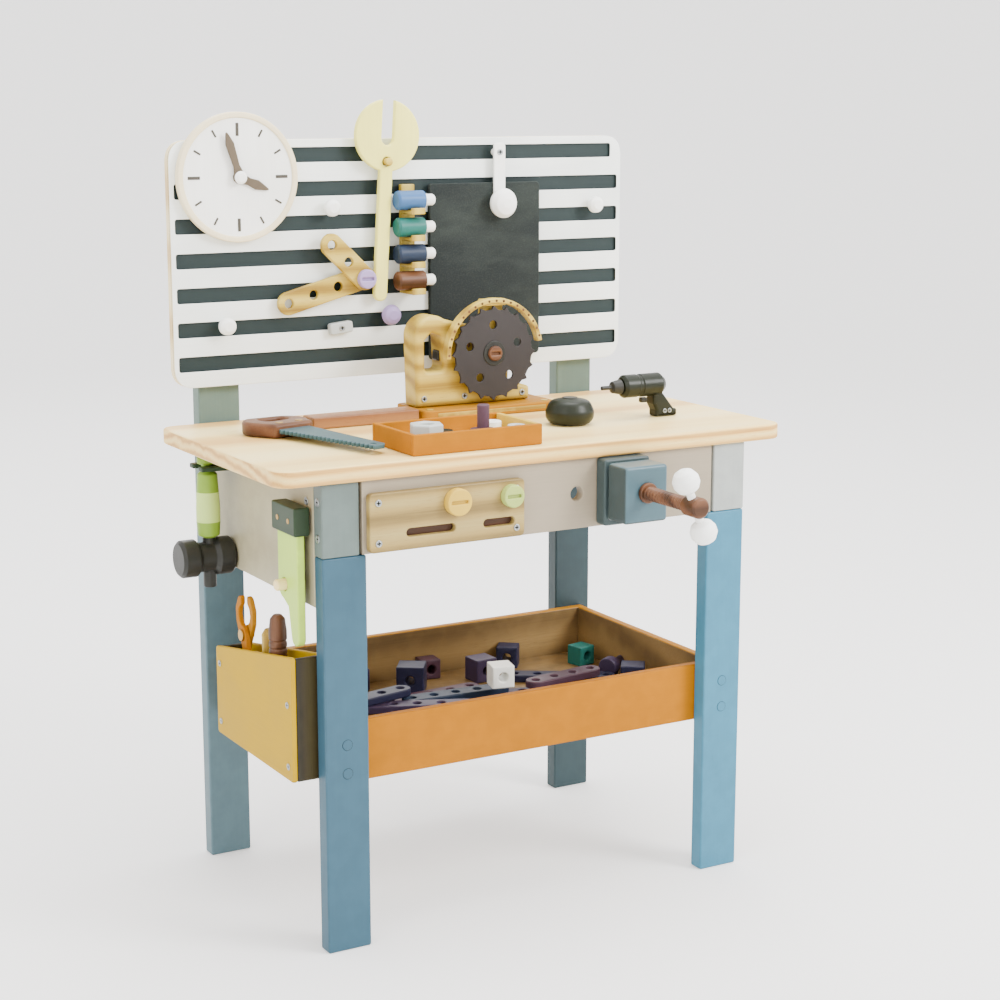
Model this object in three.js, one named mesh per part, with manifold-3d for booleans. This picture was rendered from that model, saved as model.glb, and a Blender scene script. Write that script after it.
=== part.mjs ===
// Toy workbench: a small wooden bench with a slatted back panel, a vise, a tool pocket,
// a lower tray and the toy tools that stand, lie and hang on it.
// Millimetres, +Z up, +X to the bench's right as its user sees it, +Y towards the back panel.
// Inside the bench group X = 0 is the middle of the bench, Y = 0 the front of the front legs
// and Z = 0 the floor. The outer group then moves the origin to the middle of the footprint.
import * as THREE from 'three';
import { mergeVertices } from 'three/addons/utils/BufferGeometryUtils.js';
import Module from 'manifold-3d';

const wasm = await Module();
wasm.setup();

// ---- driving dimensions ----
const GAP = 0.3; // clearance between pieces that touch
const HALF_SPAN = 237.5; // middle of the bench to the outer faces of the legs
const DEPTH = 312; // front of the front legs to the back of the rear legs
const LEG_WIDTH = 45;
const LEG_THICK = 18;
const LEG_HEIGHT = 384;
const APRON_THICK = 12;
const TOP_UNDERSIDE = 454;
const TOP_THICK = 16;
const TOP_HALF_WIDTH = 283;
const TOP_FRONT = -6;
const TOP_RADIUS = 20;
const TABLE = TOP_UNDERSIDE + TOP_THICK; // working height
const CORNER_BLOCK_WIDTH = 38;

const PANEL_HALF_WIDTH = 267;
const PANEL_BOTTOM = 508;
const PANEL_HEIGHT = 248;
const PANEL_THICK = 12;
const PANEL_RADIUS = 22;
const PANEL_BACK = DEPTH - LEG_THICK;
const PANEL_FRONT = PANEL_BACK - PANEL_THICK;
const GROOVE_COUNT = 7;
const GROOVE_PITCH = 34.7;
const GROOVE_FIRST = 532; // height of the lowest groove
const GROOVE_HEIGHT = 15;
const GROOVE_DEPTH = 3;
const POST_TOP = 700;

const CLOCK = { x: -196, z: 719, radius: 65, thick: 7 };
const CHALKBOARD = { x: 90, width: 136, bottom: 520, top: 708, thick: 6 };
const STRAP = { x: 106, width: 14, bottom: 676, top: 750, thick: 3 };
const STRAP_STUD_Z = 740;
const SPANNER = { x: -32, z: 732, thick: 7, lean: 3.5 }; // at its hanging hole
const RACK = { x: -4, width: 16, bolts: [608, 636, 664, 692], reach: 17, boltRadius: 10 };
const STRIPS = { x: -60, z: 612, thick: 6, width: 24 }; // at the bolt that both turn on

const TRAY = { halfWidth: 226, bottom: 160, height: 60, wall: 10, floor: 8 };
const POCKET = { outer: -262, inner: -227, front: 20, back: 205, bottom: 168, topFront: 290, topBack: 258 };
const POCKET_WALL = 5;

const VISE = { x: 84, z: 424, width: 49 };
const VISE_FIXED_THICK = 16;
const VISE_MOVING_FRONT = -50;
const VISE_BAR_Y = -130;
const SCREW_RADIUS = 7;
const SCREW_HEAD_RADIUS = 10;
const BAR_KNOB_RADIUS = 13;

const SAW = { x: 56, y: 199, z: 534, bladeRadius: 50, bladeThick: 3 };
const HAMMER = { x: -262, y: 215, headZ: 348, headRadius: 19, headLeft: -295 };
const SQUARE = { y: 54, z: 352 }; // the try square's hanging hole
const PLIERS = { x: -247, y: 160, z: 278, thick: 5 };
const SCREWDRIVER = { x: -247.6, y: 82, radius: 8.8, top: 316 };
const TABLE_BOLT = { x: 88, y: 98, shank: 6.7 };
const DRILL = { x: 176, y: 98, z: 504, radius: 12 };
const PARTS_TRAY = { x0: -140, x1: 0, y0: 6, y1: 92, height: 20, wall: 5, floor: 4 };
const PLANK = { x0: -156, x1: -36, y0: 192, y1: 218, height: 12 };
const HANDSAW = { x: -188, y: 168, angle: -1.34 }; // where blade and handle meet
const APRON_HOLE = { x: 36, z: 419, radius: 7 };
const APRON_BOLTS = { yellow: { x: -103, z: 427, radius: 13 }, green: { x: -44, z: 427, radius: 11 } };
const APRON_STRIP = { x0: -193, x1: -28, z0: 386, z1: 442, thick: 8 };

const FRONT_REACH = VISE_BAR_Y - BAR_KNOB_RADIUS;

// ---- materials ----
const paint = (color, roughness = 0.5, metalness = 0) => new THREE.MeshStandardMaterial({
  color, roughness, metalness, flatShading: true,
});
const BLUE = paint(0x7fa0b3);
const POST_BLUE = paint(0x93a8a4);
const LIGHT_GREY = paint(0xb9b7af);
const BIRCH = paint(0xdfc69b, 0.6);
const PANEL_WHITE = paint(0xe6e9e2);
const WHITE = paint(0xf3f0e6);
const CREAM = paint(0xe3d0a4, 0.6);
const PALE_YELLOW = paint(0xe8e0b8);
const HAND_BROWN = paint(0x9b8b78);
const SLATE = paint(0x50595a, 0.85);
const ORANGE = paint(0xdca053);
const YELLOW = paint(0xe4b93c);
const GREEN = paint(0xb4c47a);
const DARK_GREEN = paint(0x43503a);
const TEAL = paint(0x4f6a70);
const VISE_BLUE = paint(0x7891a0);
const BROWN = paint(0x80624a, 0.6);
const STEEL_GREY = paint(0x56564f, 0.55);
const OLIVE = paint(0x56563a);

// ---- shape helpers ----

// The triangles of a geometry with shared vertices merged and collapsed triangles removed.
function cleaned(geometry) {
  const source = geometry.clone();
  source.deleteAttribute('normal');
  source.deleteAttribute('uv');
  const merged = mergeVertices(source, 1e-3);
  const from = merged.index.array;
  const kept = [];
  for (let i = 0; i < from.length; i += 3) {
    const [a, b, c] = [from[i], from[i + 1], from[i + 2]];
    if (a !== b && b !== c && c !== a) kept.push(a, b, c);
  }
  merged.setIndex(kept);
  return outward(merged);
}

// Turns every triangle over when the surface encloses a negative volume.
function outward(geometry) {
  const position = geometry.attributes.position;
  const index = geometry.index.array;
  const [a, b, c] = [new THREE.Vector3(), new THREE.Vector3(), new THREE.Vector3()];
  let volume = 0;
  for (let i = 0; i < index.length; i += 3) {
    a.fromBufferAttribute(position, index[i]);
    b.fromBufferAttribute(position, index[i + 1]);
    c.fromBufferAttribute(position, index[i + 2]);
    volume += a.dot(b.cross(c));
  }
  if (volume < 0) {
    for (let i = 0; i < index.length; i += 3) [index[i], index[i + 1]] = [index[i + 1], index[i]];
  }
  return geometry;
}

function toSolid(geometry) {
  const ready = cleaned(geometry);
  return new wasm.Manifold(new wasm.Mesh({
    numProp: 3,
    vertProperties: new Float32Array(ready.attributes.position.array),
    triVerts: new Uint32Array(ready.index.array),
  }));
}

function fromSolid(solid) {
  const mesh = solid.getMesh();
  const geometry = new THREE.BufferGeometry();
  geometry.setAttribute('position', new THREE.BufferAttribute(new Float32Array(mesh.vertProperties), 3));
  geometry.setIndex(new THREE.BufferAttribute(new Uint32Array(mesh.triVerts), 1));
  geometry.computeVertexNormals();
  return geometry;
}

const cut = (body, ...tools) => fromSolid(tools.reduce((s, t) => s.subtract(toSolid(t)), toSolid(body)));
const join = (...bodies) => fromSolid(bodies.map(toSolid).reduce((s, t) => s.add(t)));

const block = (x0, x1, y0, y1, z0, z1) => new THREE.BoxGeometry(x1 - x0, y1 - y0, z1 - z0)
  .translate((x0 + x1) / 2, (y0 + y1) / 2, (z0 + z1) / 2);

const extrude = (shape, depth, curveSegments = 5) => new THREE.ExtrudeGeometry(shape, {
  depth, curveSegments, steps: 1, bevelEnabled: false,
});

// An outline drawn in X and Z, with its thickness from y0 to y1.
const facingFront = (shape, y0, y1, segments) => extrude(shape, y1 - y0, segments)
  .rotateX(Math.PI / 2).translate(0, y1, 0);

// An outline drawn in Y and Z, with its thickness from x0 to x1.
const facingSide = (shape, x0, x1, segments) => extrude(shape, x1 - x0, segments)
  .applyMatrix4(new THREE.Matrix4().makeBasis(
    new THREE.Vector3(0, 1, 0), new THREE.Vector3(0, 0, 1), new THREE.Vector3(1, 0, 0),
  )).translate(x0, 0, 0);

const polygon = (points) => new THREE.Shape(points.map(([x, y]) => new THREE.Vector2(x, y)));

function roundHole(shape, x, y, radius) {
  shape.holes.push(new THREE.Path().absarc(x, y, radius, 0, Math.PI * 2, true));
  return shape;
}

function slotHole(shape, x, y, length, height) {
  const [r, h] = [height / 2, length / 2 - height / 2];
  const path = new THREE.Path();
  path.absarc(x + h, y, r, Math.PI / 2, -Math.PI / 2, true);
  path.absarc(x - h, y, r, -Math.PI / 2, -Math.PI * 1.5, true);
  shape.holes.push(path);
  return shape;
}

function roundedRectangle(x0, x1, y0, y1, r) {
  const shape = new THREE.Shape();
  shape.absarc(x1 - r, y0 + r, r, -Math.PI / 2, 0, false);
  shape.absarc(x1 - r, y1 - r, r, 0, Math.PI / 2, false);
  shape.absarc(x0 + r, y1 - r, r, Math.PI / 2, Math.PI, false);
  shape.absarc(x0 + r, y0 + r, r, Math.PI, Math.PI * 1.5, false);
  return shape;
}

// A bar with round ends whose centres are at x0 and x1 on the X axis.
function capsule(x0, x1, width) {
  const shape = new THREE.Shape();
  shape.absarc(x1, 0, width / 2, -Math.PI / 2, Math.PI / 2, false);
  shape.absarc(x0, 0, width / 2, Math.PI / 2, Math.PI * 1.5, false);
  return shape;
}

// A turned piece about the Y axis. The profile lists [radius, y] and is closed on the axis.
const turned = (profile, segments = 20) => new THREE.LatheGeometry(
  [[0, profile[0][1]], ...profile, [0, profile.at(-1)[1]]].map(([r, y]) => new THREE.Vector2(r, y)), segments,
);
const turnedX = (profile, segments) => turned(profile, segments).rotateZ(-Math.PI / 2);
const turnedZ = (profile, segments) => turned(profile, segments).rotateX(Math.PI / 2);

const dowelY = (x, z, radius, y0, y1, segments = 12) => turned([[radius, y0], [radius, y1]], segments)
  .translate(x, 0, z);
const dowelZ = (x, y, radius, z0, z1, segments = 12) => turnedZ([[radius, z0], [radius, z1]], segments)
  .translate(x, y, 0);
const dowelX = (y, z, radius, x0, x1, segments = 12) => turnedX([[radius, x0], [radius, x1]], segments)
  .translate(0, y, z);

function add(parent, name, geometry, material, x = 0, y = 0, z = 0) {
  const mesh = new THREE.Mesh(cleaned(geometry), material);
  mesh.name = name;
  mesh.position.set(x, y, z);
  parent.add(mesh);
  return mesh;
}

function subGroup(parent, x = 0, y = 0, z = 0) {
  const group = new THREE.Group();
  group.position.set(x, y, z);
  parent.add(group);
  return group;
}

// ---- frame, table top and lower tray ----

function buildFrame(bench) {
  const inner = HALF_SPAN - LEG_WIDTH;
  for (const [side, sign] of [['left', -1], ['right', 1]]) {
    const centre = sign * (HALF_SPAN - LEG_WIDTH / 2);
    const leg = new THREE.BoxGeometry(LEG_WIDTH, LEG_THICK, LEG_HEIGHT);
    add(bench, `front_${side}_leg`, leg, BLUE, centre, LEG_THICK / 2, LEG_HEIGHT / 2);
    add(bench, `rear_${side}_leg`, leg, BLUE, centre, DEPTH - LEG_THICK / 2, LEG_HEIGHT / 2);

    const postHeight = POST_TOP - LEG_HEIGHT - GAP;
    add(bench, `${side}_post`, new THREE.BoxGeometry(LEG_WIDTH, LEG_THICK, postHeight), POST_BLUE,
      centre, DEPTH - LEG_THICK / 2, LEG_HEIGHT + GAP + postHeight / 2);

    const blockHeight = TOP_UNDERSIDE - LEG_HEIGHT - 2 * GAP;
    add(bench, `front_${side}_corner_block`,
      new THREE.BoxGeometry(CORNER_BLOCK_WIDTH, LEG_THICK, blockHeight), LIGHT_GREY,
      sign * (HALF_SPAN - CORNER_BLOCK_WIDTH / 2), LEG_THICK / 2, LEG_HEIGHT + GAP + blockHeight / 2);
  }
  const top = TOP_UNDERSIDE - GAP;
  const between = [LEG_THICK + GAP, DEPTH - LEG_THICK - GAP];
  const boardBottom = 335;
  const squareDowel = dowelX(SQUARE.y, SQUARE.z, 5.5, -HALF_SPAN - 24, -HALF_SPAN + 6);
  add(bench, 'left_side_board', join(
    block(-HALF_SPAN, -HALF_SPAN + APRON_THICK, ...between, boardBottom, top), squareDowel,
  ), LIGHT_GREY);
  add(bench, 'right_side_board',
    block(HALF_SPAN - APRON_THICK, HALF_SPAN, ...between, LEG_HEIGHT + GAP, top), LIGHT_GREY);
  add(bench, 'rear_apron',
    block(-inner + GAP, inner - GAP, DEPTH - LEG_THICK + GAP, DEPTH - LEG_THICK + APRON_THICK,
      LEG_HEIGHT + GAP, top), LIGHT_GREY);
}

function buildFrontApron(bench) {
  const reach = HALF_SPAN - CORNER_BLOCK_WIDTH - 3; // leaves the open joint beside each corner block
  const face = polygon([
    [-reach, LEG_HEIGHT + GAP], [reach, LEG_HEIGHT + GAP],
    [reach, TOP_UNDERSIDE - GAP], [-reach, TOP_UNDERSIDE - GAP],
  ]);
  roundHole(face, APRON_HOLE.x, APRON_HOLE.z, APRON_HOLE.radius);
  roundHole(face, VISE.x, VISE.z, SCREW_RADIUS + 0.5);
  for (const bolt of Object.values(APRON_BOLTS)) roundHole(face, bolt.x, bolt.z, 5.5);
  add(bench, 'front_apron', facingFront(face, 0, APRON_THICK, 6), LIGHT_GREY);

  const strip = roundedRectangle(APRON_STRIP.x0, APRON_STRIP.x1, APRON_STRIP.z0, APRON_STRIP.z1, 5);
  slotHole(strip, -129, 402, 52, 8);
  slotHole(strip, -56, 402, 34, 8);
  for (const bolt of Object.values(APRON_BOLTS)) roundHole(strip, bolt.x, bolt.z, 5.5);
  const front = -APRON_STRIP.thick - GAP;
  add(bench, 'apron_strip', facingFront(strip, front, -GAP, 4), CREAM);

  for (const [colour, material] of [['yellow', YELLOW], ['green', GREEN]]) {
    const { x, z, radius } = APRON_BOLTS[colour];
    const bolt = turned([
      [5, 26], [5, front - GAP], [radius, front - GAP], [radius, front - 7], [radius - 3, front - 9],
    ], 16);
    add(bench, `apron_bolt_${colour}`, bolt, material, x, 0, z);
  }
}

function buildTable(bench) {
  const outline = roundedRectangle(-TOP_HALF_WIDTH, TOP_HALF_WIDTH, TOP_FRONT, PANEL_BACK - 2, TOP_RADIUS);
  roundHole(outline, TABLE_BOLT.x, TABLE_BOLT.y, TABLE_BOLT.shank + 0.6);
  add(bench, 'tabletop', extrude(outline, TOP_THICK, 4), BIRCH, 0, 0, TOP_UNDERSIDE);
}

function buildLowerTray(bench) {
  const { halfWidth, bottom, height, wall, floor } = TRAY;
  const [y0, y1] = [LEG_THICK + GAP, DEPTH - LEG_THICK - GAP];
  const outside = block(-halfWidth, halfWidth, y0, y1, bottom, bottom + height);
  const inside = block(-halfWidth + wall, halfWidth - wall, y0 + wall, y1 - wall,
    bottom + floor, bottom + height + 5);
  add(bench, 'lower_tray', cut(outside, inside), ORANGE);
}

function buildPocket(bench) {
  const { outer, inner, front, back, bottom, topFront, topBack } = POCKET;
  const w = POCKET_WALL;
  const outline = polygon([[front, bottom], [back, bottom], [back, topBack], [front, topFront]]);
  const hollow = polygon([
    [front + w, bottom + w], [back - w, bottom + w], [back - w, topFront + 10], [front + w, topFront + 10],
  ]);
  add(bench, 'tool_pocket', cut(
    facingSide(outline, outer, inner - GAP), facingSide(hollow, outer + w, inner - GAP - w),
  ), YELLOW);
}

// ---- back panel and what hangs on it ----

function buildPanel(bench) {
  const { x: sx, z: sz } = SPANNER;
  const outline = roundedRectangle(-PANEL_HALF_WIDTH, PANEL_HALF_WIDTH,
    PANEL_BOTTOM, PANEL_BOTTOM + PANEL_HEIGHT, PANEL_RADIUS);
  const grooves = [];
  for (let i = 0; i < GROOVE_COUNT; i += 1) {
    const z = GROOVE_FIRST + i * GROOVE_PITCH;
    const end = PANEL_HALF_WIDTH - (i === GROOVE_COUNT - 1 ? 14 : 5);
    grooves.push(block(-end, end, PANEL_FRONT - 5, PANEL_FRONT + GROOVE_DEPTH,
      z - GROOVE_HEIGHT / 2, z + GROOVE_HEIGHT / 2));
  }
  const board = cut(facingFront(outline, PANEL_FRONT, PANEL_BACK - GAP, 4), ...grooves,
    dowelY(STRAP.x, STRAP_STUD_Z, 4.5, PANEL_FRONT - 5, PANEL_BACK + 5),
    dowelY(STRIPS.x, STRIPS.z, 4.5, PANEL_FRONT - 5, PANEL_BACK + 5));
  const spannerDowel = dowelY(sx, sz, 4, PANEL_FRONT - 20, PANEL_BACK - 2);
  add(bench, 'back_panel', join(board, spannerDowel), PANEL_WHITE);
}

function buildClock(bench) {
  const clock = subGroup(bench, CLOCK.x, PANEL_FRONT, CLOCK.z);
  const { radius, thick } = CLOCK;
  const face = turned([
    [radius, -GAP], [radius, -thick - 2], [radius - 5, -thick - 2], [radius - 7, -thick],
  ], 40);
  add(clock, 'clock_face', cut(face, dowelY(0, 0, 2.8, -20, 5)), WHITE);

  const hand = (length, width) => roundHole(polygon([
    [-width / 2, -9], [width / 2, -9], [width / 2, length - width], [0, length], [-width / 2, length - width],
  ]), 0, 0, 2.8);
  const hour = add(clock, 'clock_hour_hand', facingFront(hand(38, 10), -3, -0.5), HAND_BROWN, 0, -thick);
  hour.rotation.y = THREE.MathUtils.degToRad(112);
  const minute = add(clock, 'clock_minute_hand', facingFront(hand(50, 9), -6, -3.5), HAND_BROWN, 0, -thick);
  minute.rotation.y = THREE.MathUtils.degToRad(-17);
  add(clock, 'clock_pin', turned([[2.5, thick - 1], [2.5, -6.4], [6.5, -6.4], [6.5, -8], [4, -9.5]], 16),
    WHITE, 0, -thick);
}

function buildChalkboard(bench) {
  const { x, width, bottom, top, thick } = CHALKBOARD;
  const back = PANEL_FRONT - GAP;
  const front = back - thick;
  const board = roundedRectangle(x - width / 2, x + width / 2, bottom, top, 5);
  roundHole(board, STRAP.x, STRAP.bottom + 10, 4.5);
  add(bench, 'chalkboard', facingFront(board, front, back, 4), SLATE);

  const strapFront = front - GAP - STRAP.thick;
  const strap = roundedRectangle(STRAP.x - STRAP.width / 2, STRAP.x + STRAP.width / 2,
    STRAP.bottom, STRAP.top, 5);
  roundHole(strap, STRAP.x, STRAP.bottom + 10, 4.5);
  const stud = dowelY(STRAP.x, STRAP_STUD_Z, 4, front - 1, PANEL_FRONT + 9);
  add(bench, 'chalkboard_strap', join(facingFront(strap, strapFront, front - GAP, 4), stud), WHITE);

  const knob = turned([
    [4, -GAP], [4, strapFront - GAP - back], [9, strapFront - GAP - back], [15, strapFront - 4 - back],
    [16, strapFront - 9 - back], [12, strapFront - 15 - back], [5, strapFront - 17.5 - back],
  ], 20);
  add(bench, 'chalkboard_knob', knob, WHITE, STRAP.x, back, STRAP.bottom + 10);
}

function buildSpanner(bench) {
  const [headZ, headR, mouth, neck] = [27, 37, 7, 7.5];
  const neckAngle = Math.acos(neck / headR);
  const mouthAngle = Math.acos(mouth / headR);
  const outline = new THREE.Shape();
  outline.absarc(0, -137.5, neck, Math.PI, Math.PI * 2, false);
  outline.absarc(0, headZ, headR, -neckAngle, mouthAngle, false);
  outline.absarc(0, headZ - 3, mouth, 0, -Math.PI, true);
  outline.absarc(0, headZ, headR, Math.PI - mouthAngle, Math.PI + neckAngle, false);
  roundHole(outline, 0, 0, 4.8);
  const back = -7;
  const spanner = add(bench, 'spanner', facingFront(outline, back - SPANNER.thick, back, 5), PALE_YELLOW,
    SPANNER.x, PANEL_FRONT, SPANNER.z);
  spanner.rotation.y = THREE.MathUtils.degToRad(SPANNER.lean);
}

function buildBoltRack(bench) {
  const { x, width, bolts, reach, boltRadius } = RACK;
  const rack = subGroup(bench, x, PANEL_FRONT, 0);
  const [plate, shelf, lip] = [6, 4, 2.5];
  const outer = reach + boltRadius + 4;
  const top = bolts.at(-1) + 16;
  const outline = [[-GAP, top], [-GAP, bolts[0] - boltRadius - GAP - shelf]];
  bolts.forEach((z, i) => {
    const seat = z - boltRadius - GAP;
    if (i > 0) outline.push([-plate, seat - shelf]); // the lowest shelf is flush with the plate's end
    outline.push([-outer, seat - shelf], [-outer, seat + lip],
      [-outer + 3, seat + lip], [-outer + 3, seat], [-plate, seat]);
  });
  outline.push([-plate, top]);
  add(rack, 'bolt_rack', facingSide(polygon(outline), -width / 2, width / 2), CREAM);

  const materials = { brown: BROWN, navy: paint(0x39424f), teal: paint(0x4b8078), blue: paint(0x6a8fb5) };
  Object.entries(materials).forEach(([colour, material], i) => {
    const bolt = turnedX([
      [boltRadius - 2, -20], [boltRadius, -18], [boltRadius, 12], [6, 13], [6, 23], [4.5, 25],
    ], 14);
    add(rack, `rack_bolt_${colour}`, bolt, material, 0, -reach, bolts[i]);
  });
}

function buildStrips(bench) {
  const { x, z, thick, width } = STRIPS;
  const strips = subGroup(bench, x, PANEL_FRONT, z);
  const strip = (count, pitch, skew) => {
    const outline = capsule(-(count - 1) * pitch, 0, width);
    for (let i = 0; i < count; i += 1) roundHole(outline, -i * pitch, 0, 4.8);
    return facingFront(outline, -skew - thick, -skew, 4);
  };
  const long = add(strips, 'perforated_strip_long', strip(4, 29, 4), CREAM);
  long.rotation.y = THREE.MathUtils.degToRad(-15);
  const short = add(strips, 'perforated_strip_short', strip(3, 26, 11), CREAM);
  short.rotation.y = THREE.MathUtils.degToRad(44);
  add(strips, 'strip_bolt', turned([[4, PANEL_THICK - 2], [4, -17.5], [10, -17.5], [10, -22], [7, -24]], 16),
    paint(0xb9a9c4));
}

// ---- vise ----

function buildVise(bench) {
  const { x, z, width } = VISE;
  const vise = subGroup(bench, x, 0, z);
  const screwHole = dowelY(0, 0, SCREW_RADIUS + 0.5, -200, 20, 16);
  add(vise, 'vise_fixed_jaw', cut(
    block(-width / 2 - 2, width / 2 + 2, -VISE_FIXED_THICK, -GAP, -37, 29), screwHole,
  ), TEAL);
  add(vise, 'vise_moving_jaw', cut(
    block(-width / 2, width / 2, VISE_MOVING_FRONT, -VISE_FIXED_THICK - 2, -30, 26), screwHole,
  ), VISE_BLUE);

  const barAngle = THREE.MathUtils.degToRad(23);
  const screw = turned([
    [SCREW_RADIUS, 30], [SCREW_RADIUS, VISE_MOVING_FRONT - GAP], [SCREW_RADIUS + 3, VISE_MOVING_FRONT - GAP],
    [SCREW_RADIUS + 3, VISE_MOVING_FRONT - 5], [SCREW_RADIUS, VISE_MOVING_FRONT - 6],
    [SCREW_RADIUS, VISE_BAR_Y + 11], [SCREW_HEAD_RADIUS, VISE_BAR_Y + 10],
    [SCREW_HEAD_RADIUS, VISE_BAR_Y - 9], [SCREW_HEAD_RADIUS - 2, VISE_BAR_Y - 11],
  ], 18);
  const barHole = dowelZ(0, 0, 4.4, -30, 30).rotateY(-barAngle).translate(0, VISE_BAR_Y, 0);
  add(vise, 'vise_screw', cut(screw, barHole), BROWN);

  const knob = (centre) => [
    [4, centre - BAR_KNOB_RADIUS + 1], [9, centre - 10], [BAR_KNOB_RADIUS, centre - 3],
    [BAR_KNOB_RADIUS, centre + 3], [9, centre + 10], [4, centre + BAR_KNOB_RADIUS - 1],
  ];
  const bar = add(vise, 'vise_bar', turnedZ([...knob(-27), ...knob(27)], 16), WHITE, 0, VISE_BAR_Y, 0);
  bar.rotation.y = -barAngle;
}

// ---- tools on the table ----

function buildCircularSaw(bench) {
  const saw = subGroup(bench, SAW.x, SAW.y, SAW.z);
  const floor = TABLE - SAW.z;
  const baseTop = floor + GAP + 10;
  const base = roundedRectangle(-88, 70, -14, 56, 8);
  add(saw, 'saw_base', extrude(base, 10, 3), ORANGE, 0, 0, floor + GAP);

  const body = new THREE.Shape();
  body.moveTo(-86, baseTop + GAP);
  body.lineTo(50, baseTop + GAP);
  body.lineTo(50, baseTop + 14);
  body.lineTo(24, baseTop + 22);
  body.absarc(0, 0, 30, -0.6, Math.PI * 0.62, false);
  body.lineTo(-40, 34);
  body.absarc(-66, 20, 22, Math.PI * 0.3, Math.PI, false);
  const grip = polygon([[-76, -16], [-76, 16], [-68, 24], [-56, 20], [-54, -16]]);
  body.holes.push(grip);
  add(saw, 'saw_body', cut(facingFront(body, 9, 39, 6), dowelY(0, 0, 5, 0, 30)), CREAM);

  const guard = new THREE.Shape();
  guard.absarc(0, 0, 58, Math.PI * 0.06, Math.PI * 1.02, false);
  guard.absarc(0, 0, 53, Math.PI * 1.02, Math.PI * 0.06, true);
  const arm = block(-14, 14, -2, 8.7, 50, 57);
  const web = block(-14, 14, 5, 8.7, 22, 54);
  add(saw, 'saw_guard', join(facingFront(guard, -5, 5, 8), arm, web), CREAM);

  const teeth = 20;
  const rim = [];
  for (let i = 0; i < teeth; i += 1) {
    const angle = (i / teeth) * Math.PI * 2;
    const next = ((i + 0.72) / teeth) * Math.PI * 2;
    rim.push([Math.cos(angle) * SAW.bladeRadius, Math.sin(angle) * SAW.bladeRadius]);
    rim.push([Math.cos(next) * (SAW.bladeRadius - 4), Math.sin(next) * (SAW.bladeRadius - 4)]);
  }
  const disc = facingFront(polygon(rim), -SAW.bladeThick / 2, SAW.bladeThick / 2);
  const arbor = turned([[4.5, 28], [4.5, 4], [9, 3], [9, -4], [6, -6]], 14);
  add(saw, 'saw_blade', join(disc, arbor), STEEL_GREY);
}

function buildPartsTray(bench) {
  const { x0, x1, y0, y1, height, wall, floor } = PARTS_TRAY;
  const bottom = TABLE + GAP;
  add(bench, 'parts_tray', cut(
    block(x0, x1, y0, y1, bottom, bottom + height),
    block(x0 + wall, x1 - wall, y0 + wall, y1 - wall, bottom + floor, bottom + height + 5),
  ), ORANGE);

  const seat = bottom + floor + GAP;
  const nut = new THREE.Shape();
  for (let i = 0; i < 6; i += 1) {
    const angle = (i / 6) * Math.PI * 2 + 0.2;
    nut[i ? 'lineTo' : 'moveTo'](Math.cos(angle) * 17, Math.sin(angle) * 17);
  }
  roundHole(nut, 0, 0, 7);
  add(bench, 'loose_nut', extrude(nut, 20, 5), paint(0xd5d5d0), -108, 40, seat);
  const bolt = turnedZ([[13, 0], [13, 9], [6, 10], [6, 32], [5, 33]], 14);
  add(bench, 'loose_bolt', bolt, paint(0x75606a), -44, 44, seat);
  add(bench, 'plank', block(PLANK.x0, PLANK.x1, PLANK.y0, PLANK.y1, bottom, bottom + PLANK.height), BIRCH);
}

function buildHandSaw(bench) {
  const saw = subGroup(bench, HANDSAW.x, HANDSAW.y, TABLE + GAP);
  saw.rotation.z = HANDSAW.angle;
  const blade = polygon([[-16, -19], [-16, 19], [132, 6], [138, 0], [138, -13], [8, -22], [0, -19]]);
  add(saw, 'handsaw_blade', extrude(blade, 4), TEAL, 0, 0, 5);

  const grip = new THREE.Shape();
  grip.moveTo(2, -24);
  grip.lineTo(2, 22);
  grip.absarc(-24, 8, 22, Math.PI * 0.3, Math.PI * 0.9, false);
  grip.absarc(-30, -14, 22, Math.PI * 1.1, Math.PI * 1.6, false);
  const finger = roundedRectangle(-40, -22, -17, 13, 8);
  grip.holes.push(finger);
  const slot = block(-17, 20, -40, 40, 4.6, 9.4);
  add(saw, 'handsaw_handle', cut(extrude(grip, 14, 5), slot), BROWN);
}

function buildDrill(bench) {
  const { x, y, z, radius } = DRILL;
  const drill = subGroup(bench, x, y, z);
  const floor = TABLE + GAP - z;
  const barrel = turnedX([[radius - 3, -26], [radius, -23], [radius, 22], [radius - 5, 26]], 16);
  const grip = polygon([[2, -8], [20, -8], [36, floor + 7], [40, floor + 7], [40, floor], [14, floor], [14, floor + 7]]);
  const chuckHole = dowelX(0, 0, 4.5, -40, -12);
  const triggerSlot = block(-2, 9, -3.3, 3.3, -18.5, -12.5);
  add(drill, 'drill_body', cut(join(barrel, facingFront(grip, -8, 8)), chuckHole, triggerSlot), OLIVE);
  add(drill, 'drill_trigger', block(-2, 5.5, -3, 3, -18.2, -12.8), STEEL_GREY);
  add(drill, 'drill_chuck', turnedX([[2.2, -50], [2.2, -38], [6, -37], [8, -27], [4, -26.4], [4, -14]], 12),
    STEEL_GREY);
}

function buildTableBolt(bench) {
  const { x, y, shank } = TABLE_BOLT;
  const head = turnedZ([
    [shank, -32], [shank, GAP], [20, GAP], [25, 8], [25, 17], [20, 24], [9, 28],
  ], 18);
  add(bench, 'table_bolt', head, OLIVE, x, y, TABLE);
}

// ---- tools on the left side ----

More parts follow.
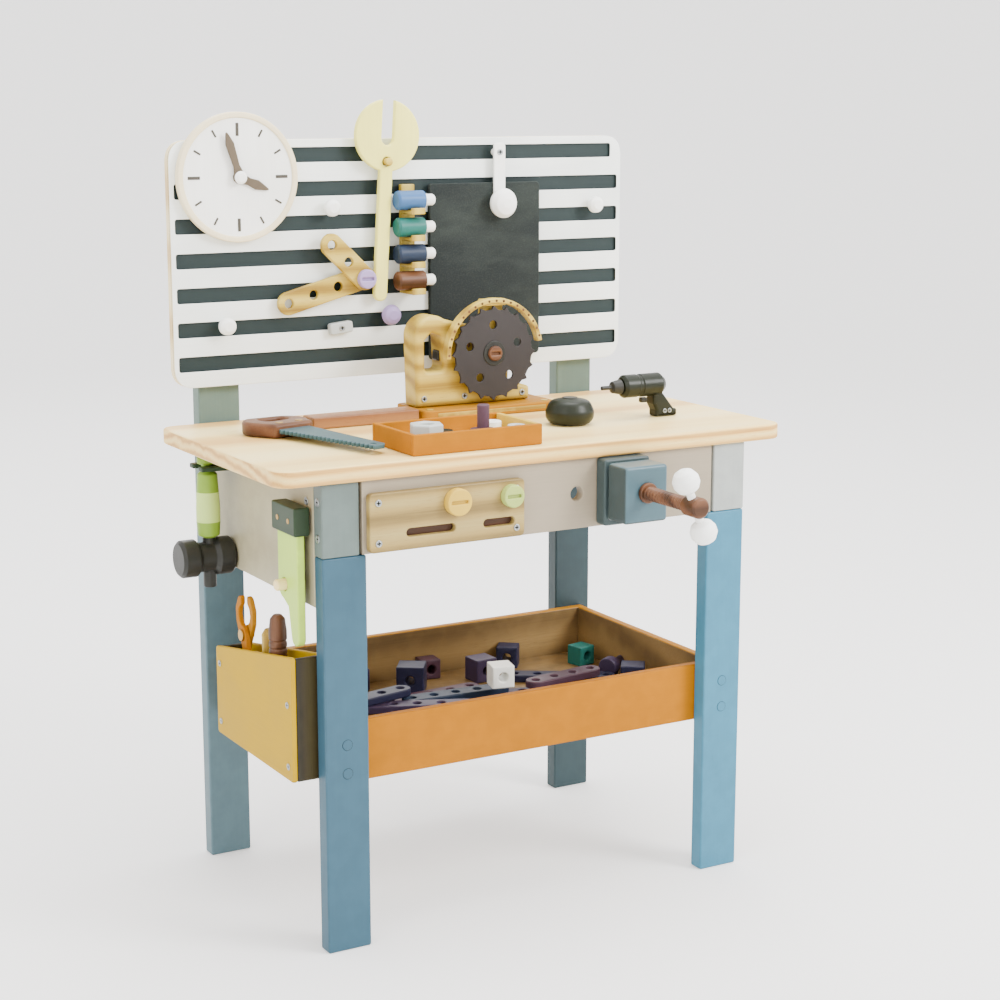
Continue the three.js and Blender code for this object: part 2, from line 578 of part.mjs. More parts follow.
function buildHammer(bench) {
  const { x, y, headZ, headRadius, headLeft } = HAMMER;
  const headRight = -HALF_SPAN - 1;
  const head = turnedX([
    [headRadius - 3, headLeft], [headRadius, headLeft + 3], [headRadius, headLeft + 17],
    [headRadius - 4, headLeft + 21], [headRadius - 4, headRight - 21], [headRadius, headRight - 17],
    [headRadius, headRight - 3], [headRadius - 3, headRight],
  ], 18).translate(0, y, headZ);
  add(bench, 'hammer_head', cut(head, dowelZ(x, y, 7, headZ - 40, headZ + 40, 16)), STEEL_GREY);

  const handle = turnedZ([
    [6.6, -31], [6.6, 20], [11, 22], [12, 50], [10, 84], [5.5, 88], [5.5, 93.5], [10, 94.5], [10, 100], [7, 103],
  ], 16);
  add(bench, 'hammer_handle', handle, GREEN, x, y, headZ);

  const hook = new THREE.Shape();
  hook.moveTo(-HALF_SPAN - GAP, y - 20);
  hook.lineTo(-HALF_SPAN - GAP, y + 20);
  hook.lineTo(x - 12, y + 17);
  hook.lineTo(x - 12, y + 6.5);
  hook.absarc(x, y, 6.5, Math.PI / 2, -Math.PI / 2, true);
  hook.lineTo(x - 12, y - 6.5);
  hook.lineTo(x - 12, y - 17);
  add(bench, 'hammer_hook', extrude(hook, 4.5, 4), DARK_GREEN, 0, 0, headZ + 88.8);
}

function buildTrySquare(bench) {
  const { y, z } = SQUARE;
  const blade = new THREE.Shape();
  blade.moveTo(-30, 60);
  blade.lineTo(-30, -46);
  blade.absarc(-22, -47, 8, Math.PI, Math.PI * 1.9, false); // its tip clears the pocket's rim
  blade.lineTo(-8, -20);
  blade.absarc(2, -2, 12, -Math.PI * 0.45, 0, false);
  blade.lineTo(14, 60);
  roundHole(blade, 0, 0, 6.3);
  const stock = block(-256, -240, -34, 18, 51, 78);
  add(bench, 'try_square', join(facingSide(blade, -252, -244, 5), stock), GREEN, 0, y, z);
}

function buildPliers(bench) {
  const { x, y, z, thick } = PLIERS;
  const pliers = subGroup(bench, x, y, z);
  const foot = POCKET.bottom + POCKET_WALL + GAP - z; // the handles' ends stand on the pocket's floor
  const half = (sign) => {
    const at = ([u, v]) => [u * sign, v];
    const points = [
      [1, 40], [8, 38], [15, 26], [14, 12], [9, 2], [2, -10], [-9, -34], [-12, -70], [-10, foot],
      [-17, foot], [-20, -70], [-18, -34], [-11, -8], [-8, 2], [-4, 9], [1, 10], [6, 14], [8, 20], [6, 27], [1, 31],
    ].map(at);
    return polygon(sign > 0 ? points.reverse() : points);
  };
  const stud = dowelX(0, 0, 4, -thick - 2, thick + 2);
  add(pliers, 'pliers_front_half', join(facingSide(half(1), -thick, 0), stud), ORANGE);
  add(pliers, 'pliers_rear_half', cut(
    facingSide(half(-1), GAP, thick + GAP), dowelX(0, 0, 4.4, -20, 20),
  ), ORANGE);
}

function buildScrewdriver(bench) {
  const { x, y, radius, top } = SCREWDRIVER;
  const tip = POCKET.bottom + POCKET_WALL + GAP; // the blade's tip stands on the pocket's floor
  const handleBottom = top - 76;
  const screwdriver = turnedZ([
    [2.5, tip], [2.5, handleBottom - 4], [5, handleBottom], [radius - 1, handleBottom + 6],
    [radius, handleBottom + 22], [radius, top - 16], [radius - 1.5, top - 4], [4, top],
  ], 14);
  add(bench, 'screwdriver', screwdriver, BROWN, x, y, 0);
}

// ---- assembly ----

const part = new THREE.Group();
part.name = 'toy_workbench';
const bench = subGroup(part, (-HAMMER.headLeft - TOP_HALF_WIDTH) / 2, -(DEPTH + FRONT_REACH) / 2, 0);
[
  buildFrame, buildFrontApron, buildTable, buildLowerTray, buildPocket,
  buildPanel, buildClock, buildChalkboard, buildSpanner, buildBoltRack, buildStrips,
  buildVise, buildCircularSaw, buildPartsTray, buildHandSaw, buildDrill, buildTableBolt,
  buildHammer, buildTrySquare, buildPliers, buildScrewdriver,
].forEach((build) => build(bench));

export default part;
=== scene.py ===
import math
import random
from types import SimpleNamespace

import bmesh
import bpy
from mathutils import Matrix, Vector


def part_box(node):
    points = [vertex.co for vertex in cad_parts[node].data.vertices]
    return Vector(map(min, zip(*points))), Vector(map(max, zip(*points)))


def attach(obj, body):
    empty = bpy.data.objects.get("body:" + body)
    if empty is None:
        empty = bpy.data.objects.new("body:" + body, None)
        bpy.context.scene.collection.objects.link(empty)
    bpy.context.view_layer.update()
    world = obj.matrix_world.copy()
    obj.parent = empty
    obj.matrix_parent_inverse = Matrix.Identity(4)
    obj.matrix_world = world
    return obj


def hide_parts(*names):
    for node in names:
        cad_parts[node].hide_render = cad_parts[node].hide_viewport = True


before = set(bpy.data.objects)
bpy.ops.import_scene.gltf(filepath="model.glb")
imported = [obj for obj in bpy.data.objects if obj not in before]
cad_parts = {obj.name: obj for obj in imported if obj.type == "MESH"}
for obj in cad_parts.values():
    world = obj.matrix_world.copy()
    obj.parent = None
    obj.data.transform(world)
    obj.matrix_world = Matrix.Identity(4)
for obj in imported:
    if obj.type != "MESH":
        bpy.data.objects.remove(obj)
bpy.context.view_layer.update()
MM = 0.001  # every shape below is drawn in millimetres in the row frame
UP = Vector((0, 0, 1))

# ---- camera ----

camera = bpy.data.objects.new("camera", bpy.data.cameras.new("camera"))
camera.data.lens = 73
camera.data.sensor_width = 36
camera.location = (-0.990, -1.728, 0.800)
aim = Vector((0.004, 0, 0.402))
camera.rotation_mode = "QUATERNION"
camera.rotation_quaternion = (aim - camera.location).to_track_quat("-Z", "Y")
link = bpy.context.scene.collection.objects.link
link(camera)
bpy.context.scene.camera = camera


# ---- outlines, as lists of (u, v) ----

def arc(cu, cv, radius, start, end, steps=12):
    """Points on an arc, from one angle in degrees to another."""
    angles = [math.radians(start + (end - start) * i / steps) for i in range(steps + 1)]
    return [(cu + radius * math.cos(a), cv + radius * math.sin(a)) for a in angles]


def at_angle(radius, angle):
    return arc(0, 0, radius, angle, angle, 1)[0]


def circle(cu, cv, radius, steps=36):
    return arc(cu, cv, radius, 0, 360, steps)[:-1]


def softened(points, radius, steps=5, closed=True):
    """The same outline with each corner rounded, by less where its sides are short."""
    made = []
    count = len(points)
    for i, point in enumerate(points):
        if not closed and i in (0, count - 1):
            made.append(point)
            continue
        corner = Vector(point)
        before, after = Vector(points[i - 1]) - corner, Vector(points[(i + 1) % count]) - corner
        turn = before.angle(after, math.pi)
        reach = min(radius / max(math.tan(turn / 2), 0.05), before.length * 0.48, after.length * 0.48)
        if turn > math.radians(172) or reach < 1e-4:
            made.append(point)
            continue
        start, end = corner + before.normalized() * reach, corner + after.normalized() * reach
        for k in range(steps + 1):
            t = k / steps
            made.append(tuple(start * (1 - t) ** 2 + corner * 2 * t * (1 - t) + end * t * t))
    return made


def rectangle(u0, u1, v0, v1, radius=0.0, steps=6):
    corners = [(u0, v0), (u1, v0), (u1, v1), (u0, v1)]
    return softened(corners, radius, steps) if radius else corners


def slot_outline(cu, cv, length, height):
    half = (length - height) / 2
    right = arc(cu + half, cv, height / 2, -90, 90, 10)
    return right + arc(cu - half, cv, height / 2, 90, 270, 10)


# ---- solids, each a mesh in millimetres ----

PLANES = {  # the world axes that an outline's u, v and thickness run along
    "front": Matrix(((1, 0, 0, 0), (0, 0, -1, 0), (0, 1, 0, 0), (0, 0, 0, 1))),
    "side": Matrix(((0, 0, 1, 0), (1, 0, 0, 0), (0, 1, 0, 0), (0, 0, 0, 1))),
    "top": Matrix.Identity(4),
}
NORMALS = {"front": Vector((0, 1, 0)), "side": Vector((1, 0, 0)), "top": UP}
AXES = {"X": Matrix.Rotation(math.pi / 2, 4, "Y"), "Y": Matrix.Rotation(-math.pi / 2, 4, "X"),
        "Z": Matrix.Identity(4)}


def plate(plane, outline, low, high, edge=1.0, holes=(), round_steps=2):
    """A board of any outline with holes and rounded edges, from low to high across its plane."""
    curve = bpy.data.curves.new("outline", "CURVE")
    curve.dimensions, curve.fill_mode = "2D", "BOTH"
    for loop in (outline, *holes):
        spline = curve.splines.new("POLY")
        spline.points.add(len(loop) - 1)
        for point, (u, v) in zip(spline.points, loop):
            point.co = (u, v, 0, 1)
        spline.use_cyclic_u = True
    edge = min(edge, (high - low) / 2 - 0.05)
    curve.extrude = (high - low) / 2 - edge
    curve.bevel_depth, curve.offset = edge, -edge
    curve.bevel_resolution = round_steps
    holder = bpy.data.objects.new("outline", curve)
    link(holder)
    evaluated = holder.evaluated_get(bpy.context.evaluated_depsgraph_get())
    mesh = bpy.data.meshes.new_from_object(evaluated)
    bpy.data.objects.remove(holder)
    bpy.data.curves.remove(curve)
    mesh.transform(Matrix.Translation(NORMALS[plane] * (low + high) / 2) @ PLANES[plane])
    return mesh


def skin(bm, rings):
    """Faces from each ring of points to the next. A ring may be a single point on the axis."""
    steps = max(len(ring) for ring in rings)
    for low, high in zip(rings, rings[1:]):
        for i in range(steps):
            j = (i + 1) % steps
            corners = [low[i % len(low)], low[j % len(low)], high[j % len(high)], high[i % len(high)]]
            corners = list(dict.fromkeys(corners))
            if len(corners) > 2:
                bm.faces.new(corners)


def mesh_of(bm):
    mesh = bpy.data.meshes.new("part")
    bmesh.ops.recalc_face_normals(bm, faces=bm.faces)
    bm.to_mesh(mesh)
    bm.free()
    return mesh


def slab(x0, x1, y0, y1, z0, z1, edge=1.5):
    """A board with rounded edges and corners."""
    bm = bmesh.new()
    bmesh.ops.create_cube(bm, size=1)
    size = Matrix.Diagonal((x1 - x0, y1 - y0, z1 - z0, 1))
    bm.transform(Matrix.Translation(((x0 + x1) / 2, (y0 + y1) / 2, (z0 + z1) / 2)) @ size)
    bmesh.ops.bevel(bm, geom=bm.edges[:], offset=edge, segments=3, profile=0.5, affect="EDGES")
    return mesh_of(bm)


def lathe(profile, axis="Z", at=(0, 0, 0), soft=0.8, steps=48):
    """A turned piece. The profile lists (radius, place along the axis), with its corners softened."""
    points = [(0, profile[0][1]), *profile, (0, profile[-1][1])]
    points = softened(points, soft, 4, closed=False)
    bm = bmesh.new()
    rings = []
    for radius, along in points:
        if radius < 1e-6:
            rings.append([bm.verts.new((0, 0, along))])
        else:
            rings.append([bm.verts.new((u, v, along)) for u, v in circle(0, 0, radius, steps)])
    skin(bm, rings)
    bm.transform(Matrix.Translation(at) @ AXES[axis])
    return mesh_of(bm)


def thread(radius, depth, pitch, start, end, at, steps=40):
    """A wooden screw's thread along Y: the radius falls and rises with the turn and the place."""
    bm = bmesh.new()
    rows = int((end - start) / pitch * 8)
    rings = []
    for row in range(rows + 1):
        along = start + (end - start) * row / rows
        ring = []
        for i in range(steps):
            turn = i / steps
            wave = abs(((along / pitch - turn) % 1) * 2 - 1)
            r = radius - depth * min(1, max(0, wave * 1.5 - 0.25))
            angle = turn * math.tau
            ring.append(bm.verts.new((r * math.cos(angle), along, r * math.sin(angle))))
        rings.append(ring)
    skin(bm, rings)
    bm.faces.new(rings[0])
    bm.faces.new(rings[-1])
    bm.transform(Matrix.Translation(at))
    return mesh_of(bm)


def node_box(node):
    low, high = (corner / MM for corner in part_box(node))
    centre = (low + high) / 2
    return SimpleNamespace(x0=low.x, x1=high.x, y0=low.y, y1=high.y, z0=low.z, z1=high.z,
                           cx=centre.x, cy=centre.y, cz=centre.z)


class Piece:
    """One piece of the object, gathered from solids that each bring their own material.
    With a kind, it stands in for the CAD node of that name. Without one, it stands for none."""

    def __init__(self, node, kind=None):
        self.name = f"{node}_{kind}" if kind else node
        self.replaces = [node] if kind else []
        self.bm = bmesh.new()
        self.materials = []

    def add(self, mesh, material, move=None, choose=None):
        """choose(centre, normal) may name another material for a face."""
        if move is not None:
            mesh.transform(move)
        first = len(self.bm.faces)
        self.bm.from_mesh(mesh)
        self.bm.faces.ensure_lookup_table()
        self.bm.normal_update()
        for face in self.bm.faces[first:]:
            own = choose(face.calc_center_median(), face.normal) if choose else None
            own = own or material
            if own not in self.materials:
                self.materials.append(own)
            face.material_index = self.materials.index(own)
        bpy.data.meshes.remove(mesh)
        return self

    def done(self, body, slot=None):
        bmesh.ops.remove_doubles(self.bm, verts=self.bm.verts, dist=0.001)
        self.bm.transform(Matrix.Scale(MM, 4))
        mesh = bpy.data.meshes.new(self.name)
        self.bm.to_mesh(mesh)
        self.bm.free()
        for material in self.materials:
            mesh.materials.append(material)
        mesh.polygons.foreach_set("use_smooth", [True] * len(mesh.polygons))
        mesh.set_sharp_from_angle(angle=math.radians(42))
        piece = bpy.data.objects.new(self.name, mesh)
        link(piece)
        shading = piece.modifiers.new("flat_faces", "WEIGHTED_NORMAL")
        shading.keep_sharp = True
        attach(piece, body)
        if self.replaces:
            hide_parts(*self.replaces)


def box_slab(b, edge):
    """A board that fills a node's box."""
    return slab(b.x0, b.x1, b.y0, b.y1, b.z0, b.z1, edge)


# ---- materials ----

def linear(code):
    """A colour written as six hex digits, as linear light."""
    parts = [int(code[i:i + 2], 16) / 255 for i in (0, 2, 4)]
    return (*[c / 12.92 if c <= 0.04045 else ((c + 0.055) / 1.055) ** 2.4 for c in parts], 1)


class Graph:
    """A material's node graph, with short calls for what these materials share."""

    def __init__(self, name):
        self.material = bpy.data.materials.new(name)
        self.material.use_nodes = True
        self.tree = self.material.node_tree
        self.shader = self.tree.nodes["Principled BSDF"]
        self.coordinates = self.tree.nodes.new("ShaderNodeTexCoord").outputs["Object"]

    def node(self, kind, values=None, **settings):
        node = self.tree.nodes.new(kind)
        for key, value in settings.items():
            setattr(node, key, value)
        for key, value in (values or {}).items():
            self.feed(node.inputs[key], value)
        return node

    def feed(self, socket, value):
        if isinstance(value, bpy.types.NodeSocket):
            self.tree.links.new(value, socket)
        else:
            socket.default_value = value

    def stretched(self, grain, squeeze, shift=0.0, tilt=0.0):
        """Coordinates squeezed along the grain, so that what is drawn in them runs with it."""
        scale = [squeeze if axis == grain else 1 for axis in "XYZ"]
        place = (0.31 + shift, 0.17 - shift, 0.23 + shift * 0.5)
        values = {"Vector": self.coordinates, "Scale": scale, "Location": place}
        values["Rotation"] = (tilt, tilt, tilt)
        return self.node("ShaderNodeMapping", values).outputs[0]

    def noise(self, where, scale, detail=3.0, rough=0.5):
        values = {"Vector": where, "Scale": scale, "Detail": detail, "Roughness": rough}
        return self.node("ShaderNodeTexNoise", values).outputs["Fac"]

    def ramp(self, factor, *stops):
        node = self.node("ShaderNodeValToRGB", {"Fac": factor})
        band = node.color_ramp
        while len(band.elements) < len(stops):
            band.elements.new(0.5)
        for element, (place, colour) in zip(band.elements, stops):
            element.position = place
            element.color = colour
        return node.outputs["Color"]

    def range(self, value, low, high, to_low, to_high):
        values = {"Value": value, "From Min": low, "From Max": high}
        values |= {"To Min": to_low, "To Max": to_high}
        return self.node("ShaderNodeMapRange", values).outputs[0]

    def times(self, a, b):
        return self.node("ShaderNodeMath", {0: a, 1: b}, operation="MULTIPLY").outputs[0]

    def mix(self, factor, a, b):
        node = self.node("ShaderNodeMix", data_type="RGBA")
        self.feed(node.inputs["Factor"], factor)
        self.feed(node.inputs[6], a)
        self.feed(node.inputs[7], b)
        return node.outputs[2]

    def finish(self, colour, roughness, height, bump, coat=0.0, sheen=0.22, distance=0.0004):
        self.feed(self.shader.inputs["Base Color"], colour)
        self.feed(self.shader.inputs["Roughness"], roughness)
        self.shader.inputs["Specular IOR Level"].default_value = sheen
        self.shader.inputs["Coat Weight"].default_value = coat
        self.shader.inputs["Coat Roughness"].default_value = 0.25
        values = {"Height": height, "Strength": bump, "Distance": distance}
        self.feed(self.shader.inputs["Normal"], self.node("ShaderNodeBump", values).outputs[0])
        return self.material

    def worn_edge(self, where, most):
        """How much an outer edge is rubbed, patchy along its length."""
        point = self.node("ShaderNodeNewGeometry").outputs["Pointiness"]
        edge = self.range(point, 0.515, 0.60, 0, most)
        return self.times(edge, self.range(self.noise(where, 60, 3), 0.42, 0.62, 0.15, 1))


def tinted(colour, amount):
    """The colour made lighter, or darker where amount is under 1."""
    return (*[min(1, c * amount) for c in colour[:3]], 1)


def painted(name, code, grain="Z", rough=0.42, wear=0.45, shift=0.0, sheen=0.22):
    """Satin paint on wood: slow changes of tone, faint grain under the coat and rubbed edges."""
    g = Graph(name)
    base = linear(code)
    slow = g.noise(g.stretched(grain, 0.6, shift), 14, 3)
    fibre = g.noise(g.stretched(grain, 0.035, shift), 520, 5, 0.6)
    colour = g.ramp(slow, (0.3, tinted(base, 0.90)), (0.7, tinted(base, 1.08)))
    colour = g.mix(g.range(fibre, 0.35, 0.7, 0.16, 0), colour, tinted(base, 0.72))
    colour = g.mix(g.worn_edge(g.coordinates, wear), colour, tinted(base, 1.45))
    speck = g.noise(g.coordinates, 900, 2)
    height = g.mix(0.3, fibre, speck)
    gloss = g.range(slow, 0.3, 0.7, rough - 0.06, rough + 0.10)
    return g.finish(colour, gloss, height, 0.22, 0.03, sheen)


def natural(name, light, middle, dark, grain="X", rings=9.0, rough=0.40, shift=0.0):
    """Clear lacquered wood: growth rings around an axis near the grain, fibres and pores."""
    g = Graph(name)
    values = {"Vector": g.stretched(grain, 0.05, shift, 0.045), "Scale": rings, "Distortion": 4.5,
              "Detail": 3.0, "Detail Scale": 1.1, "Detail Roughness": 0.55}
    ring = g.node("ShaderNodeTexWave", values, wave_type="RINGS", rings_direction=grain).outputs["Fac"]
    fibre = g.noise(g.stretched(grain, 0.02, shift), 640, 6, 0.65)
    pores = g.noise(g.stretched(grain, 0.05, shift), 1500, 2)
    slow = g.noise(g.stretched(grain, 0.3, shift), 11, 2)
    tones = [linear(code) for code in (light, middle, dark)]
    colour = g.ramp(ring, (0.0, tones[0]), (0.55, tones[1]), (0.94, tones[2]))
    colour = g.mix(g.range(fibre, 0.35, 0.72, 0.0, 0.55), colour, tones[1])
    colour = g.mix(g.range(pores, 0.60, 0.74, 0, 0.5), colour, tones[2])
    colour = g.mix(g.range(slow, 0.35, 0.65, 0, 0.25), colour, tinted(tones[1], 1.10))
    colour = g.mix(g.worn_edge(g.coordinates, 0.35), colour, tinted(tones[0], 1.10))
    gloss = g.range(fibre, 0.3, 0.7, rough - 0.06, rough + 0.12)
    return g.finish(colour, gloss, fibre, 0.20, 0.05)


def chalky(name, code, dust):
    """Matt chalkboard paint with wiped chalk left in it."""
    g = Graph(name)
    base = linear(code)
    wiped = g.noise(g.stretched("X", 0.35, 0, 0.4), 22, 6, 0.62)
    fine = g.noise(g.coordinates, 700, 3)
    colour = g.mix(g.range(wiped, 0.45, 0.78, 0, 0.24), base, linear(dust))
    colour = g.mix(g.range(fine, 0.45, 0.7, 0, 0.10), colour, linear(dust))
    colour = g.mix(g.worn_edge(g.coordinates, 0.5), colour, linear(dust))
    return g.finish(colour, g.range(wiped, 0.3, 0.7, 0.72, 0.9), fine, 0.25, 0, 0.08)


def metallic(name, code, rough=0.34):
    g = Graph(name)
    base = linear(code)
    brushed = g.noise(g.stretched("Z", 0.1), 800, 4)
    g.shader.inputs["Metallic"].default_value = 1.0
    colour = g.ramp(brushed, (0.3, tinted(base, 0.82)), (0.7, tinted(base, 1.08)))
    gloss = g.range(brushed, 0.3, 0.7, rough - 0.08, rough + 0.12)
    return g.finish(colour, gloss, brushed, 0.12, sheen=0.5)


# Each paint's code is darker and purer than it looks in the light of the studio.
# The legs are one blue. Four close tones stand for the light that falls on each of them.

LEG_BLUE = painted("leg_blue", "387088")
LEG_SHADED = painted("leg_shaded", "305060", shift=0.6)
LEG_REAR = painted("leg_rear", "506870", shift=0.8)
LEG_DIM = painted("leg_dim", "2c3c40", shift=0.9)
POST_GREY = painted("post_grey", "5c7068", shift=0.4)
APRON_GREY = painted("apron_grey", "948874", "X", shift=0.2)
# One light grey paint on both front corner blocks, in a lit tone and a tone of painted shade.
CORNER_PALE = painted("corner_pale", "989c98", shift=0.1)
CORNER_SHADED = painted("corner_shaded", "5c6864", shift=0.1)
SIDE_GREY = painted("side_grey", "9c9478", "Y", shift=0.3)
PANEL_WHITE = painted("panel_white", "f0f4f0", "X", wear=0.2)
GROOVE_GREY = painted("groove_grey", "202c2c", "X", 0.5, 0.1)
WHITE = painted("white", "fcfcf4", wear=0.2)
RIM_CREAM = painted("rim_cream", "f0e0b8", wear=0.2)
HAND_BROWN = painted("hand_brown", "5c5040")
TICK = painted("tick", "48443c")
PALE_YELLOW = painted("pale_yellow", "f0e87c")
ORANGE = painted("orange", "9c6000", "X", 0.5, sheen=0.06)
DEEP_ORANGE = painted("deep_orange", "a06c14", "X", 0.5, shift=0.5, sheen=0.06)
YELLOW = painted("yellow", "b08c00", "Y", 0.5, sheen=0.06)
SOFT_YELLOW = painted("soft_yellow", "c8a438")
SOFT_GREEN = painted("soft_green", "a4b45c")
GREEN = painted("green", "7c9c30", rough=0.30)
# A painted highlight: the lighter green of a band on the hammer's handle.
HIGHLIGHT_GREEN = painted("highlight_green", "bcd474", rough=0.30)
BLADE_GREEN = painted("blade_green", "b0d050", rough=0.36)
DARK_GREEN = painted("dark_green", "243420", "Y")
TEAL = painted("teal", "384444", "X")
SAW_TEAL = painted("saw_teal", "3c5458", "X")
VISE_BLUE = painted("vise_blue", "486068", "X", 0.36)
RACK_BLUE = painted("rack_blue", "3c6494", "X")
RACK_TEAL = painted("rack_teal", "20645c", "X")
RACK_NAVY = painted("rack_navy", "202c40", "X")
STEEL_GREY = painted("steel_grey", "282824", rough=0.38)
BLADE_GREY = painted("blade_grey", "302c2c", rough=0.40)
OLIVE = painted("olive", "181c10", "X", 0.38)
PLUM = painted("plum", "4c3440")
LILAC = painted("lilac", "9c88b4")
PALE_GREY = painted("pale_grey", "b4b8b4")
NAVY = painted("navy", "24243c", "X")
VIOLET = painted("violet", "3c3048", "X")
SHADOW = painted("shadow", "1c1c18", rough=0.7, wear=0.0)
SLATE = chalky("slate", "242828", "586058")
BIRCH = natural("birch", "f4e0a4", "f0d084", "c8944c", "X", 7.0)
TABLE_EDGE = natural("table_edge", "f0d48c", "e4b868", "b88440", "X", 30.0, shift=0.3)
PLANK_BROWN = natural("plank_brown", "986c40", "7c5030", "54341c", "X", 12.0, shift=0.8)
CREAM = natural("cream", "ccb45c", "b49838", "80601c", "X", 16.0, shift=0.7)
CREAM_UPRIGHT = natural("cream_upright", "ccb45c", "b49838", "80601c", "Z", 16.0, shift=0.2)
PALE_PLY = natural("pale_ply", "f0e0b4", "e4cc94", "c4a068", "X", 4.0, shift=0.5)
APRON_TAN = natural("apron_tan", "a8945c", "988048", "6c5830", "X", 12.0, shift=0.1)
BROWN = natural("brown", "6c4830", "543420", "342010", "X", 14.0, shift=0.6)
BROWN_UPRIGHT = natural("brown_upright", "6c4830", "543420", "342010", "Z", 18.0, shift=0.9)
# Painted shade: a dark brown on the lower tray's inside walls and floor, for the shade in it.
TRAY_SHADED_INSIDE = natural("tray_shaded_inside", "94784c", "78603c", "5c482c", "X", 6.0, shift=0.4)
POCKET_END = natural("pocket_end", "3c3418", "2c2410", "1c180c", "Z", 16.0, shift=0.3)
ZINC = metallic("zinc", "a4a8a8")
BRASS = metallic("brass", "b08c4c")


# ---- details that repeat ----

def turned(x, z, angle):
    """Moves a shape drawn at the origin to (x, z), turned in the plane seen from the front.
    A positive angle in degrees is clockwise."""
    return Matrix.Translation((x, 0, z)) @ Matrix.Rotation(math.radians(angle), 4, "Y")


LEFT, RIGHT, FRONT, BACK = (-1, 0, 0), (1, 0, 0), (0, -1, 0), (0, 1, 0)


def facing_place(at, facing):
    """Moves a shape drawn at the origin, looking up, to a place where it looks along an axis."""
    return Matrix.Translation(at) @ Vector(facing).to_track_quat("Z", "Y").to_matrix().to_4x4()


def screw_head(piece, at, facing, radius=4.2):
    """A cross-slot screw head standing a little proud of the wood, facing along the given axis."""
    place = facing_place(at, facing)
    arm = radius * 0.62
    thin = radius * 0.16
    cross = [(arm, -thin), (arm, thin), (thin, thin), (thin, arm), (-thin, arm), (-thin, thin),
             (-arm, thin), (-arm, -thin), (-thin, -thin), (-thin, -arm), (thin, -arm), (thin, -thin)]
    piece.add(plate("top", circle(0, 0, radius, 28), -0.6, 0.9, 0.5, [cross]), ZINC, place)
    piece.add(plate("top", circle(0, 0, radius - 0.8, 20), -0.8, 0.1, 0.2), SHADOW, place)


def slotted_head(piece, at, facing, radius, depth, material):
    """A toy bolt's round head with a screwdriver slot across it. at is the middle of its back."""
    place = facing_place(at, facing)
    slot = rectangle(-radius * 0.68, radius * 0.68, -1.5, 1.5, 1.2)
    floor = depth - 3
    piece.add(lathe([(radius, 0), (radius, floor)], soft=0.8), material, place)
    crown = plate("top", circle(0, 0, radius, 48), floor - 0.4, depth, 1.4, [slot], 3)
    piece.add(crown, material, place)


def plug(piece, at, facing, material, radius=5.0):
    """A glued wooden plug over a screw, with the fine ring around it."""
    place = facing_place(at, facing)
    piece.add(lathe([(radius, -1.5), (radius, 0.5)], soft=0.5, steps=32), material, place)
    piece.add(lathe([(radius + 0.35, -1.5), (radius + 0.35, 0.08)], soft=0.02, steps=32), SHADOW, place)


# ---- frame ----

LEG_PAINTS = {"front_left_leg": LEG_SHADED, "front_right_leg": LEG_BLUE,
              "rear_left_leg": LEG_REAR, "rear_right_leg": LEG_DIM}


PLUG_HEIGHTS = (176, 204)
POST_SCREW_HEIGHTS = (400, 438, 540, 684)
BLOCK_SCREW_HEIGHTS = (402, 436)
SIDE_DOWEL_Y, SIDE_DOWEL_Z, SIDE_DOWEL_LENGTH = -30.5, 352, 24
SIDE_SCREW_INSET = 14


def make_leg(name):
    b = node_box(name)
    paint = LEG_PAINTS[name]
    piece = Piece(name, "board").add(box_slab(b, 2.0), paint)
    at_front = name.startswith("front")
    for z in PLUG_HEIGHTS:
        plug(piece, (b.cx, b.y0 if at_front else b.y1, z), FRONT if at_front else BACK, paint)
    piece.done("bench", "blue_paint")


def make_post(name):
    b = node_box(name)
    piece = Piece(name, "board").add(box_slab(b, 2.0), POST_GREY)
    for z in POST_SCREW_HEIGHTS:
        screw_head(piece, (b.cx, b.y1, z), BACK)
    piece.done("bench", "post_paint")


def make_corner_block(name, paint, face, facing):
    b = node_box(name)
    piece = Piece(name, "board").add(box_slab(b, 1.6), paint)
    for z in BLOCK_SCREW_HEIGHTS:
        screw_head(piece, (face, b.cy, z), facing, 4.0)
    piece.done("bench", "light_grey_paint")


def make_side_boards():
    b = node_box("right_side_board")
    piece = Piece("right_side_board", "panel").add(box_slab(b, 1.4), SIDE_GREY)
    for y in (b.y0 + SIDE_SCREW_INSET, b.y1 - SIDE_SCREW_INSET):
        screw_head(piece, (b.x1, y, b.cz), RIGHT, 4.0)
    piece.done("bench", "light_grey_paint")

    b = node_box("left_side_board")
    board_left = b.x0 + SIDE_DOWEL_LENGTH
    piece = Piece("left_side_board", "panel")
    piece.add(slab(board_left, b.x1, b.y0, b.y1, b.z0, b.z1, 1.4), SIDE_GREY)
    dowel = [(5.5, board_left + 2), (5.5, b.x0 + 1.5), (4.2, b.x0)]
    piece.add(lathe(dowel, "X", (0, SIDE_DOWEL_Y, SIDE_DOWEL_Z), 0.6), BIRCH)
    for y in (b.y0 + SIDE_SCREW_INSET, b.y1 - SIDE_SCREW_INSET):
        screw_head(piece, (board_left, y, b.z1 - 20), LEFT, 4.0)
    piece.done("bench", "light_grey_paint")


def make_frame():
    left, right = node_box("front_left_corner_block"), node_box("front_right_corner_block")
    # The left corner block takes the painted shade, the right one the lit tone.
    for side, paint, face, facing in (("left", CORNER_SHADED, left.x0, LEFT),
                                      ("right", CORNER_PALE, right.x1, RIGHT)):
        make_leg(f"front_{side}_leg")
        make_leg(f"rear_{side}_leg")
        make_post(f"{side}_post")
        make_corner_block(f"front_{side}_corner_block", paint, face, facing)
    make_side_boards()
    rear = box_slab(node_box("rear_apron"), 1.4)
    Piece("rear_apron", "board").add(rear, APRON_GREY).done("bench", "light_grey_paint")


# ---- front apron, its strip and its bolts ----

